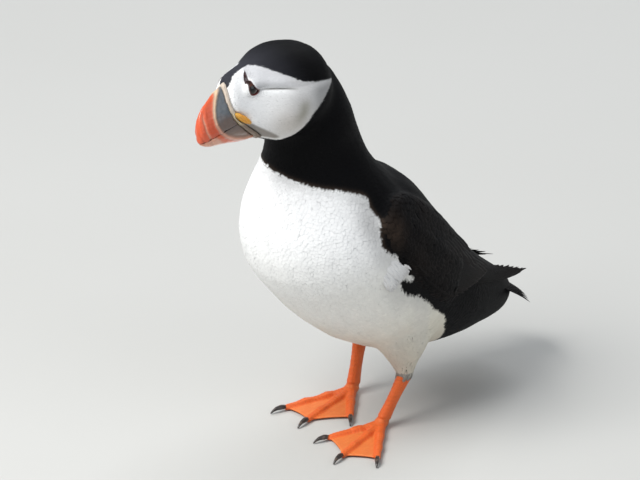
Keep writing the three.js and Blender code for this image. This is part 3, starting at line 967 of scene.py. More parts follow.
@dataclass
class Skin:
    """The one skin of the feathered body: a single closed mesh inside the solids by the coat's depth."""

    places: Places
    marks: Markings
    eye: Eye
    voxel: float = 1.05 * MM
    swell: float = 0.42 * MM
    face_depth: float = 0.26 * MM
    nape_depth: float = 0.24 * MM  # added towards the back of the head
    body_depth: float = 0.36 * MM
    thigh_depth: float = 0.36 * MM
    limb_depth: float = 0.6 * MM
    surface: Surface = field(init=False)
    region: Array = field(init=False)
    normal: Array = field(init=False)
    flow: Array = field(init=False)
    uv: Array = field(init=False)
    mesh: bpy.types.Mesh = field(init=False)

    def build(self, wardrobe: Wardrobe) -> bpy.types.Object:
        """Builds the skin and finds the lie of the coat on it.

        Args:
            wardrobe: The materials.

        Returns:
            The skin's object.
        """
        names = [name for region in Region for name in region.value]
        self.mesh = remeshed(cad_copy([*names, *EYE_NODES], self.swell), self.voxel)
        self.surface = Surface.of(self.mesh)
        self.region = self._regions()
        self._soften()
        self._sink()
        self.surface.write(self.mesh)
        self._refine()
        self._fold()
        self._lids()
        self.surface.write(self.mesh)
        self.normal = self.surface.normals
        for _ in range(8):
            self.normal = unit(self.surface.spread(self.normal))
        self.flow = self._lie()
        wings, legs = ((self.region == part).astype(float) for part in (WING, THIGH))
        tint, _ = self.marks.tints(self.surface.points, 0.0, wings, legs)
        inside = self.eye.gap(self.places.to_head(self.surface.points)) < 0.3
        paint(self.mesh, np.where(inside[:, None], colour("3a2220"), tint * 0.9))
        obj = piece("skin", self.mesh, wardrobe.get(Look.DOWN), "white_plumage", *names)
        self.uv = self._unwrap(obj)
        return obj

    def _regions(self) -> Array:
        """The region of each point, as its place in Region."""
        gaps = []
        for region in Region:
            tree = cad_tree(*region.value)
            gaps.append([tree.find_nearest(p)[3] for p in self.surface.points.tolist()])
        return np.argmin(np.array(gaps), axis=0)

    def _soften(self) -> None:
        """Takes out the facets, and rounds the hollows where the lengths of the body meet."""
        surface = self.surface
        a, b = surface.edges.T
        seam = np.zeros(len(surface.points))
        parted = self.region[a] != self.region[b]
        seam[a[parted]] = seam[b[parted]] = 1
        for _ in range(7):
            seam = np.maximum(seam, surface.spread(seam) * 1.02)
        surface.relax(26, 0.5, 0.9)
        surface.relax(16, 0.5 * np.clip(seam * 1.6, 0, 1))
        surface.relax(22, 0.5, 0.96)

    def _sink(self) -> None:
        """Moves the skin inwards by the depth of the coat."""
        depth = self.depth(self.surface.points, self.region)
        for _ in range(12):
            depth = self.surface.spread(depth)
        self.surface.points -= self.surface.normals * (depth + self.swell)[:, None]
        self.surface.relax(3, 0.4)

    def depth(self, p: Array, region: Array) -> Array:
        """How deep the coat is at points of some regions, in metres.

        Args:
            p: The points.
            region: Their regions.

        Returns:
            A depth for each point.
        """
        ahead = self.places.to_head(p)[:, 1]
        head = self.face_depth + self.nape_depth * ramp(ahead, -12, 22)
        rest = (self.body_depth, self.body_depth, self.limb_depth, self.thigh_depth)
        return np.choose(region, [head, *(np.full(len(p), d) for d in rest)])

    def _refine(self) -> None:
        """Splits the faces of the cheeks, and again those round the eyes."""
        old = nearby(self.surface.points)
        for reach in ((14.0, 14.5), (7.5, 9.0)):
            bm = bmesh.new()
            bm.from_mesh(self.mesh)
            head = self.places.to_head(np.array([v.co for v in bm.verts]))
            middle = np.array([-10.5 if reach[0] > 10 else -17.2, 7.0])
            near = (np.abs((head[:, 1:] - middle) / reach) < 1).all(1) & (np.abs(head[:, 0]) > 3)
            edges = [e for e in bm.edges if near[e.verts[0].index] and near[e.verts[1].index]]
            bmesh.ops.subdivide_edges(bm, edges=edges, cuts=1, use_grid_fill=True)
            bm.to_mesh(self.mesh)
            bm.free()
        self.mesh.update()
        self.surface = Surface.of(self.mesh)
        self.region = self.region[[old.find(p)[1] for p in self.surface.points.tolist()]]
        head = self.places.to_head(self.surface.points)
        cheek = (np.abs((head[:, 1:] - [-10.5, 7]) / [17, 17]) < 1).all(1) & (np.abs(head[:, 0]) > 3)
        self.surface.relax(10, 0.5 * cheek, 0.9)

    def _fold(self) -> None:
        """Draws the fold behind the eye, the full lobe over it and the cheek under it."""
        head = self.places.to_head(self.surface.points)
        out = self.surface.normals
        line = np.array(self.marks.crease, float)
        side = ramp(np.abs(head[:, 0]), 4, 8) * (np.linalg.norm(head, axis=1) < 40)
        away = line_distance(head[:, 1:], line)
        depth = ramp(-head[:, 1], -5, 6)
        above = head[:, 2] > np.interp(head[:, 1], line[:, 0], line[:, 1])
        push = -0.85 * hump(away, 0, 0.75) * depth
        push += np.where(above, 0.8, 0.3) * hump(away, 2.8, 2.2) * depth
        push += 0.7 * hump(np.hypot(head[:, 1] + 12.5, head[:, 2] - 10.5), 0, 3.4)
        self.surface.points += out * (push * side)[:, None] * MM

    @staticmethod
    def _sign(head: Array) -> Array:
        """What brings points of the head's frame to its left half, and back again."""
        return np.stack([np.sign(head[:, 0]), np.ones(len(head)), np.ones(len(head))], 1)

    def _lids(self) -> None:
        """Draws the lids over the eyeballs and cuts the slit between them."""
        eye, surface = self.eye, self.surface
        head = self.places.to_head(surface.points)
        ball = eye.radius + eye.lid
        centre = np.array(eye.centre)
        away = head * self._sign(head) - centre
        far = np.linalg.norm(away, axis=1)
        full = 0.5 * (far + ball + np.sqrt((far - ball) ** 2 + 0.09))
        share = ramp(away[:, 0], 0, 2.0) * (far < 9)
        apart = centre + away * ((far + share * (full - far)) / np.maximum(far, 1e-9))[:, None]
        head = apart * self._sign(head)
        surface.points = self.places.from_head(head)
        tree = surface.tree()
        turn = self.places.turn
        for side, name in SIDES:
            rim = []
            inward = Vector(turn @ np.array([-side, 0, 0]))
            for y, z in eye.slit.ring[::2]:
                start = self.places.from_head(np.array([[side * 30.0, y, z]]))[0]
                rim.append(tree.ray_cast(Vector(start), inward, 0.04)[0])
            eye.rims[name] = np.array([p for p in rim if p is not None])
        gap = np.where(np.abs(head[:, 0]) > 5.0, eye.gap(head), 20.0)
        carve = ramp(-gap, -0.12, 0.3)
        away = head * self._sign(head) - centre
        far = np.linalg.norm(away, axis=1)
        inner = np.minimum(far, eye.radius - 0.8)
        on_ball = ramp(far, ball + 1.3, ball + 0.5)
        shrink = 1 + carve * on_ball * (inner / np.maximum(far, 1e-9) - 1)
        head = (centre + away * shrink[:, None]) * self._sign(head)
        surface.points = self.places.from_head(head)
        surface.points -= surface.normals * (0.5 * carve * (1 - on_ball))[:, None] * MM

    def _lie(self) -> Array:
        """The way the feathers point at each skin point: from the bill to the tail, wing tips and ankles."""
        surface = self.surface
        n = len(surface.points)
        head, body = self.places.to_head(surface.points), self.places.to_body(surface.points)
        value = np.full(n, np.nan)
        value[(self.region == HEAD) & (head[:, 1] < np.quantile(head[self.region == HEAD, 1], 0.02))] = 0
        ends = {TRUNK: body[:, 1], WING: body[:, 1] - body[:, 2], THIGH: -body[:, 2]}
        for part, reach in ends.items():
            for side in (body[:, 0] > 0, body[:, 0] <= 0):
                own = (self.region == part) & side
                value[own & (reach > np.quantile(reach[own], 0.99))] = 1
        fixed = ~np.isnan(value)
        a, b = surface.edges.T
        count = (np.bincount(a, minlength=n) + np.bincount(b, minlength=n)).astype(float)

        def pull(x: Array) -> Array:
            """The graph's Laplacian with the fixed points held."""
            made = count * x - np.bincount(a, x[b], n) - np.bincount(b, x[a], n)
            return np.where(fixed, 0, made)

        x = np.where(fixed, np.nan_to_num(value), 0.4)
        rest = -pull(x)
        way = rest.copy()
        size = rest @ rest
        for _ in range(700):
            pulled = pull(way)
            step = size / max(way @ pulled, 1e-30)
            x += step * way
            rest -= step * pulled
            fresh = rest @ rest
            if fresh < 1e-10:
                break
            way = rest + fresh / size * way
            size = fresh
        span = surface.points[b] - surface.points[a]
        slope = ((x[b] - x[a]) / np.maximum((span**2).sum(1), 1e-12))[:, None] * span
        flow = unit(np.stack([np.bincount(a, c, n) + np.bincount(b, c, n) for c in slope.T], 1))
        for _ in range(10):
            flow = surface.spread(flow)
            flow = unit(flow - (flow * self.normal).sum(1, keepdims=True) * self.normal)
        return flow

    def _unwrap(self, obj: bpy.types.Object) -> Array:
        """Unwraps the skin.

        Args:
            obj: The skin's object.

        Returns:
            For each triangle, the flat places of its three corners.
        """
        self.mesh.uv_layers.new(name=BAKE)
        bpy.context.view_layer.objects.active = obj
        obj.select_set(True)
        bpy.ops.object.mode_set(mode="EDIT")
        bpy.ops.mesh.select_all(action="SELECT")
        bpy.ops.uv.smart_project(angle_limit=math.radians(66), island_margin=0.002)
        bpy.ops.object.mode_set(mode="OBJECT")
        obj.select_set(False)
        flat = table(self.mesh.uv_layers[BAKE].uv, "vector", 2)
        self.surface.triangles = Surface.of(self.mesh).triangles
        return flat[table(self.mesh.loop_triangles, "loops", 3, np.int64)]


# ---- Feathers -----------------------------------------------------------------------------------


@dataclass(frozen=True)
class Vane:
    """The form of one kind of feather, on a grid of rows along it and columns across it.

    Fields: rows, columns, the half width at shares of the length, how far the sides hang below the shaft
    as a share of the width, how much each feather's own tilt shows in its shading, the power of its rise
    along the length, and how far its tip bends down again.
    """

    rows: int = 3
    columns: int = 2
    outline: tuple = ((0, 0.5), (0.43, 1.1), (0.785, 0.95), (1, 0.15))
    camber: float = 0.02
    relief: float = 0.12
    spring: float = 0.9
    droop: float = 0.2

    def grid(self) -> tuple[Array, Array]:
        """The rows' and columns' shares: along 0 to 1, closer near the tip, and across -1 to 1."""
        steps = 1 - (1 - np.linspace(0, 1, self.rows + 1)) ** 1.4
        along, across = np.meshgrid(steps, np.linspace(-1, 1, self.columns + 1), indexing="ij")
        return along.ravel(), across.ravel()

    def faces(self) -> list[list[int]]:
        """The faces of one closed feather: a domed top and a flat underside on the same rim."""
        wide = self.columns + 1
        top = [
            [r * wide + c, r * wide + c + 1, (r + 1) * wide + c + 1, (r + 1) * wide + c]
            for r in range(self.rows)
            for c in range(self.columns)
        ]
        under = [[r * wide, (r + 1) * wide, (r + 2) * wide - 1, (r + 1) * wide - 1] for r in range(self.rows)]
        last = self.rows * wide
        return [*top, *under, list(range(wide))[::-1], list(range(last, last + wide))]


@dataclass
class Roots:
    """Feathers to be made: where each starts, goes and ends, how it faces, its size and its patch."""

    start: Array
    middle: Array
    end: Array
    up: tuple[Array, Array, Array]
    width: Array
    lift: Array
    flat: Array

    def part(self, chosen: Array) -> "Roots":
        """The chosen feathers only."""
        rows = [getattr(self, n)[chosen] for n in ("start", "middle", "end", "width", "lift", "flat")]
        return Roots(*rows[:3], tuple(u[chosen] for u in self.up), *rows[3:])


Dye = Callable[[Array, Array, Array], Array]


def feather_mesh(roots: Roots, vane: Vane, seed: int, dye: Dye) -> bpy.types.Mesh:
    """One mesh of many feathers.

    Args:
        roots: The feathers.
        vane: Their form.
        seed: Where the small differences between them start.
        dye: Gives the colours of points, each with its feather's number and its share of the length.

    Returns:
        The mesh, with its colours, its bake map and a map along each feather.
    """
    rng = np.random.default_rng(seed)
    along, across = vane.grid()
    n, size = len(roots.start), len(along)
    reach = along[None] * (1 - 0.05 * rng.uniform(0, 1, (n, size)) * (along > 0.9))
    shares = ((1 - reach) * (1 - 2 * reach), 4 * reach * (1 - reach), reach * (2 * reach - 1))
    line = sum(s[..., None] * p[:, None] for s, p in zip(shares, (roots.start, roots.middle, roots.end)))
    shifts = (4 * reach - 3, 4 - 8 * reach, 4 * reach - 1)
    stops = (roots.start, roots.middle, roots.end)
    slope = unit(sum(s[..., None] * p[:, None] for s, p in zip(shifts, stops)))
    facing = unit(sum(s[..., None] * u[:, None] for s, u in zip(shares, roots.up)))
    side = unit(np.cross(slope, facing))
    up = unit(np.cross(side, slope))
    half = np.interp(along, *zip(*vane.outline))
    wide = roots.width[:, None] / 2
    bent = reach**vane.spring - vane.droop * reach**6
    rise = roots.lift[:, None] * bent - 0.1 * MM * (1 - reach)
    drop = vane.camber * 2 * wide * (0.35 + 0.65 * half)[None] * np.abs(across[None]) ** 1.7
    points = line + side * (wide * (half * across)[None])[..., None] + up * (rise - drop)[..., None]
    points = points.reshape(-1, 3)
    shape = vane.faces()
    counts = np.array([len(f) for f in shape])
    loops = np.concatenate([np.array(f) for f in shape])
    index = (np.arange(n)[:, None] * size + loops[None]).ravel()
    mesh = bpy.data.meshes.new("feathers")
    mesh.vertices.add(n * size)
    mesh.vertices.foreach_set("co", points.astype(np.float32).ravel())
    mesh.loops.add(len(index))
    mesh.loops.foreach_set("vertex_index", index.astype(np.int32))
    mesh.polygons.add(n * len(shape))
    starts = np.concatenate([[0], np.cumsum(np.tile(counts, n))[:-1]])
    mesh.polygons.foreach_set("loop_start", starts.astype(np.int32))
    mesh.update(calc_edges=True)
    paint(mesh, dye(points, np.repeat(np.arange(n), size), np.tile(along, n)))
    spot = np.stack([(across + 1) / 2, along], 1)
    patch = np.clip(roots.flat[:, None] + (spot[None] - 0.5) * PATCH, 0, 1).reshape(-1, 2)
    for name, rows in ((BAKE, patch), (VANE, np.tile(spot, (n, 1)))):
        layer = mesh.uv_layers.new(name=name)
        layer.uv.foreach_set("vector", rows[index].astype(np.float32).ravel())
    mesh.uv_layers.active = mesh.uv_layers[BAKE]
    mesh.validate()
    mesh.shade_smooth()
    own = table(mesh.vertex_normals, "vector", 3, np.float32)
    mixed = unit(facing.reshape(-1, 3) * (1 - vane.relief) + vane.relief * own)
    mesh.normals_split_custom_set_from_vertices(mixed)
    return mesh


@dataclass
class Coat:
    """The body feathers, rooted on the skin and lying along it towards the tail."""

    skin: Skin
    marks: Markings
    seed: int = 7
    # Where pieces part: the top of the belly and the front of the rump in the body's frame, the nape's
    # front in the head's frame.
    belly_top: float = 80.0
    rump_from: float = 30.0
    nape_from: float = 26.0
    # Millimetres between roots.
    body_pitch: float = 1.15
    neck_pitch: float = 0.98
    face_pitch: float = 0.52
    crown_pitch: float = 0.68
    thigh_pitch: float = 1.0
    wing_pitch: float = 1.9
    body_vane: Vane = Vane()
    face_vane: Vane = Vane(2, 2, ((0, 0.5), (0.62, 1), (1, 0.15)), 0.03, 0.12, 0.9, 0.2)
    wing_vane: Vane = Vane(
        5, 4, ((0, 0.3), (0.27, 0.7), (0.51, 1.0), (0.72, 1.0), (0.895, 0.7), (1, 0.16)), 0.05, 0.55, 0.6, 0.0
    )

    def pitches(self) -> Array:
        """The distance between roots at each skin point, in metres."""
        surface = self.skin.surface
        ahead = self.skin.places.to_head(surface.points)[:, 1]
        body = self.skin.places.to_body(surface.points)
        back = ramp(ahead, -14, 12) * (self.marks.face_edge(surface.points) > 0)
        head = self.face_pitch + (self.crown_pitch - self.face_pitch) * back
        wing = self.wing_pitch + 0.9 * ramp(body[:, 1], -20, 40)
        even = (np.full(len(head), p) for p in (self.neck_pitch, self.body_pitch))
        made = np.choose(self.skin.region, [head, *even, wing, np.full(len(head), self.thigh_pitch)])
        for _ in range(5):
            made = surface.spread(made)
        return made * MM

    def scatter(self, pitch: Array) -> tuple[Array, Array]:
        """Spreads the roots evenly and without order.

        Args:
            pitch: The distance between roots at each skin point.

        Returns:
            The triangle of each root and its three weights there.
        """
        rng = np.random.default_rng(self.seed)
        surface = self.skin.surface
        a, b, c = (surface.points[surface.triangles[:, k]] for k in range(3))
        area = np.linalg.norm(np.cross(b - a, c - a), axis=1) / 2
        step = pitch[surface.triangles].mean(1)
        crowd = area / step**2
        total = int(crowd.sum() * 4)
        chosen = rng.choice(len(area), total, p=crowd / crowd.sum())
        u, v = rng.random(total), rng.random(total)
        over = u + v > 1
        u[over], v[over] = 1 - u[over], 1 - v[over]
        weights = np.stack([1 - u - v, u, v], 1)
        spots = (surface.points[surface.triangles[chosen]] * weights[..., None]).sum(1)
        reach = (pitch[surface.triangles[chosen]] * weights).sum(1)
        tree = nearby(spots)
        free = np.ones(total, bool)
        kept = []
        for i in range(total):
            if free[i]:
                kept.append(i)
                for _, j, _ in tree.find_range(spots[i], reach[i]):
                    free[j] = False
        kept = np.array(kept)
        return chosen[kept], weights[kept]

    def _round_eye(self, start: Array, flow: Array) -> tuple[Array, Array]:
        """Turns the lie of the feathers round the slit of the eye.

        Args:
            start: The roots.
            flow: The lie of the coat there.

        Returns:
            The lie, turned, and how far each root is from the slit, in millimetres.
        """
        places, eye = self.skin.places, self.skin.eye
        head = places.to_head(start)
        gap = eye.gap(head)
        away = eye.slit.away(head[:, 1:])
        away = np.concatenate([np.zeros((len(away), 1)), away], 1) @ places.turn.T
        into = np.minimum((flow * away).sum(1), 0) * ramp(gap, 4.0, 1.2)
        return unit(flow - into[:, None] * away), gap

    def _lay(self, start: Array, up: Array, way: Array, length: Array) -> tuple[list[Array], list[Array]]:
        """Lays feathers along the skin: three places for each and how it faces there.

        Args:
            start: The roots.
            up: The way out of the skin there.
            way: The way they point.
            length: How long they are.

        Returns:
            The places and the ways they face.
        """
        surface = self.skin.surface
        tree = surface.tree()
        stops, ups = [start], [up]
        for _ in range(2):
            aim = stops[-1] + way * (length / 2)[:, None]
            found = [tree.find_nearest(p) for p in aim.tolist()]
            faces = surface.triangles[[f[2] for f in found]]
            near = unit(self.skin.normal[faces].mean(1))
            stops.append(np.array([f[0] for f in found]))
            ups.append(near)
            way = unit(way - (way * near).sum(1, keepdims=True) * near)
        return stops, ups

    def _dye(self, wing: Array, leg: Array, seed: int) -> Dye:
        """The colours of feathers that carry the markings, by place.

        Args:
            wing: Whether each feather is on a wing.
            leg: Whether it is on a thigh.
            seed: Where chance starts.

        Returns:
            What colours the points.
        """
        rng = np.random.default_rng(seed)
        rag = rng.normal(0, 0.14, len(wing))
        shade = 1 + rng.normal(0, 0.02, len(wing))

        def colours(p: Array, which: Array, along: Array) -> Array:
            """The colours of points."""
            made, kind = self.marks.tints(p, rag[which], wing[which], leg[which])
            edge = np.where(kind == DARK, wing[which] * 0.4, 0.0) * ramp(along, 0.6, 1)
            return np.clip(blend(made, self.marks.brown, edge) * shade[which][:, None], 0, 1)

        return colours

    def build(self, wardrobe: Wardrobe) -> None:
        """Builds every piece of the coat.

        Args:
            wardrobe: The finishes.
        """
        skin, rng = self.skin, np.random.default_rng(self.seed + 1)
        surface = skin.surface
        pitch = self.pitches()
        where, weights = self.scatter(pitch)
        corners = surface.triangles[where]

        def mean(values: Array) -> Array:
            """A skin value at the roots."""
            return (values[corners] * weights[..., None]).sum(1)

        start, up = mean(surface.points), unit(mean(skin.normal))
        flow, step = unit(mean(skin.flow)), mean(pitch[:, None])[:, 0]
        flat = (skin.uv[where] * weights[..., None]).sum(1)
        region = skin.region[corners[:, 0]]
        flow, gap = self._round_eye(start, flow)
        keep = gap > 0.5
        kept = (v[keep] for v in (start, up, flow, step, flat, region, gap))
        start, up, flow, step, flat, region, gap = kept
        head, body = skin.places.to_head(start), skin.places.to_body(start)
        trunk, wings, thighs = (region == part for part in (TRUNK, WING, THIGH))
        soft = np.where(thighs, 1.0, 0.5 * ramp(-body[:, 2], -80, -50) * trunk)
        turn = (rng.normal(0, 1, len(start)) * np.radians(6 + 7 * soft))[:, None]
        way = unit(flow * np.cos(turn) + np.cross(up, flow) * np.sin(turn))
        near = ramp(gap, 0.4, 3.0)
        long = np.choose(region, [4.2, 3.6, 3.4, 3.0, 4.0]) * (1 + 0.25 * soft)
        length = step * long * rng.uniform(0.85, 1.15, len(start)) * (0.35 + 0.65 * near)
        stops, ups = self._lay(start, up, way, length)
        shut = np.minimum(*(skin.eye.gap(skin.places.to_head(p)) for p in stops[1:])) > 0.25
        lift = skin.depth(start, region) * rng.uniform(0.88, 1.1, len(start)) * (0.3 + 0.7 * near)
        width = step * np.choose(region, [1.9, 2.2, 2.2, 2.2, 2.0])
        roots = Roots(*stops, tuple(ups), width, lift, flat)
        wing, leg = wings.astype(float), thighs.astype(float)
        _, kind = self.marks.tints(stops[1], 0.0, wing, leg)
        left, right = body[:, 0] > 0, body[:, 0] <= 0
        face = (region < TRUNK) & (kind == FACE) & shut
        neck = (region == NECK) & (kind != FACE)
        white, high = trunk & (kind == BODY), body[:, 2] > self.belly_top
        dark = trunk & (kind != BODY)
        pieces = {
            "face_feathers_left": face & (head[:, 0] > 0),
            "face_feathers_right": face & (head[:, 0] <= 0),
            "cap_feathers": (region == HEAD) & (kind != FACE),
            "nape_feathers": neck & (head[:, 1] > self.nape_from),
            "throat_feathers": neck & (head[:, 1] <= self.nape_from),
            "breast_feathers_left": white & high & left,
            "breast_feathers_right": white & high & right,
            "belly_feathers_left": white & ~high & left,
            "belly_feathers_right": white & ~high & right,
            "back_feathers": dark & (body[:, 1] < self.rump_from),
            "rump_feathers": dark & (body[:, 1] >= self.rump_from),
            "wing_feathers_left": wings & left,
            "wing_feathers_right": wings & right,
            "thigh_feathers_left": thighs & left,
            "thigh_feathers_right": thighs & right,
        }
        slots = {"face": "face_plumage", **dict.fromkeys(("breast", "belly", "thigh"), "white_plumage")}
        vanes = {"face": self.face_vane, "cap": self.face_vane, "wing": self.wing_vane}
        for i, (name, chosen) in enumerate(pieces.items()):
            kin = name.split("_")[0]
            slot = slots.get(kin, "dark_plumage")
            look = wardrobe.get(Look.WHITE if kin in slots else Look.DARK)
            dye = self._dye(wing[chosen], leg[chosen], self.seed + 60 + i)
            mesh = feather_mesh(roots.part(chosen), vanes.get(kin, self.body_vane), self.seed + 10 + i, dye)
            piece(name, mesh, look, slot)


@dataclass
class Fringes:
    """Longer loose feathers over two edges: the flank's plumes on the wing and the cuffs of the legs."""

    coat: Coat
    vane: Vane = Vane(5, 2, ((0, 0.5), (0.3, 0.9), (0.6, 1), (0.85, 0.6), (1, 0.1)), 0.08, 0.5, 0.7, 0.0)
    # The left flank's plumes start between these two places and run towards the wing: y, z.
    plume_from: tuple = ((-30.5, 109.0), (-36.0, 97.0))
    plume_way: tuple = (0.6, -0.8)
    plumes: int = 130
    cuffs: int = 170
    seed: int = 90

    def _plumes(self, side: int, name: str) -> Roots:
        """The white plumes that lap over the front of the folded wing of one side.

        Args:
            side: 1 for the left side, -1 for the right.
            name: The side's name.

        Returns:
            The feathers.
        """
        rng = np.random.default_rng(self.seed)
        places, n = self.coat.skin.places, self.plumes
        a, b = (np.array(p) for p in self.plume_from)
        share, slide = rng.uniform(0, 1, n), rng.uniform(0, 8, n)
        way = np.array(self.plume_way)
        first = a + share[:, None] * (b - a) + slide[:, None] * way
        aim = np.arctan2(way[1], way[0]) + rng.normal(0, 0.09, n)
        ways = np.stack([np.cos(aim), np.sin(aim)], 1)
        length = (17.5 - 6.5 * share) - slide + rng.normal(0, 0.9, n)
        tree = cad_tree("trunk", f"wing_{name}")
        lines, ups = [], []
        for k in range(3):
            flat = first + ways * (length * k / 2)[:, None]
            spots, faces = [], []
            for y, z in flat.tolist():
                start = places.from_body(np.array([[side * 80.0, y, z]]))[0]
                hit = tree.ray_cast(Vector(start), Vector((-side, 0, 0)), 0.08)
                spots.append(hit[0])
                faces.append(hit[1])
            lines.append(np.array(spots) - np.array(faces) * 0.9 * MM * (k == 0))
            ups.append(np.array(faces))
        flat = np.stack([rng.uniform(0.1, 0.9, n), np.full(n, 0.5)], 1)
        return Roots(*lines, tuple(ups), np.full(n, 2.4 * MM), rng.uniform(0.5, 1.3, n) * MM, flat)

    def _cuff(self, leg: "Leg") -> Roots:
        """The downy feathers that end over the top of a bare leg.

        Args:
            leg: The leg.

        Returns:
            The feathers.
        """
        rng = np.random.default_rng(self.seed + 1)
        n = self.cuffs
        low, high = (self.coat.skin.places.from_body(np.array([p]))[0] for p in (leg.ankle, leg.knee))
        axis = unit(high - low)
        one = unit(np.cross(axis, [0, 1, 0]))
        two = np.cross(axis, one)
        angle = rng.uniform(0, 2 * math.pi, n)
        out = np.cos(angle)[:, None] * one + np.sin(angle)[:, None] * two
        top = rng.uniform(2.5, 9, n)
        drop = top + rng.uniform(1.0, 3.2, n)
        lines = []
        for k in range(3):
            at = top - drop * k / 2
            radius = np.interp(at, [-4, 0, 4, 9], [3.6, 3.9, 4.6, 6.4])
            lines.append(low + axis * (at * MM)[:, None] + out * (radius * MM)[:, None])
        ankle = unit(low - self.coat.skin.places.from_body(np.array([[*leg.at, 4.0]]))[0])
        lines[2] = lines[2] - (axis - ankle) * (np.maximum(drop - top, 0) * -MM)[:, None]
        flat = np.stack([angle / 6.3, np.full(n, 0.3)], 1)
        return Roots(*lines, (out, out, out), np.full(n, 1.5 * MM), rng.uniform(0.0, 0.35, n) * MM, flat)

    def build(self, wardrobe: Wardrobe, legs: tuple) -> None:
        """Builds both sides' plumes and cuffs.

        Args:
            wardrobe: The finishes.
            legs: Both legs.
        """
        marks, look = self.coat.marks, wardrobe.get(Look.WHITE)
        places = self.coat.skin.places

        def plume_dye(p: Array, _which: Array, along: Array) -> Array:
            """White that turns grey towards the ragged ends."""
            made = blend(marks.white, marks.pale_grey, 0.45 + 0.4 * ramp(along, 0.5, 1))
            return made * (1 + 0.04 * ripple(places.to_body(p), 5, 3))[:, None]

        def cuff_dye(_p: Array, _which: Array, along: Array) -> Array:
            """White that turns dusky at the ankle."""
            return blend(marks.cream, marks.dusk, np.clip(0.25 + 0.65 * ramp(along, 0.1, 0.8), 0, 1))

        for side, name in SIDES:
            mesh = feather_mesh(self._plumes(side, name), self.vane, self.seed + 2 + side, plume_dye)
            piece(f"flank_plumes_{name}", mesh, look, "white_plumage")
        for leg in legs:
            mesh = feather_mesh(self._cuff(leg), self.vane, self.seed + 5, cuff_dye)
            piece(f"ankle_feathers_{leg.name}", mesh, look, "white_plumage")


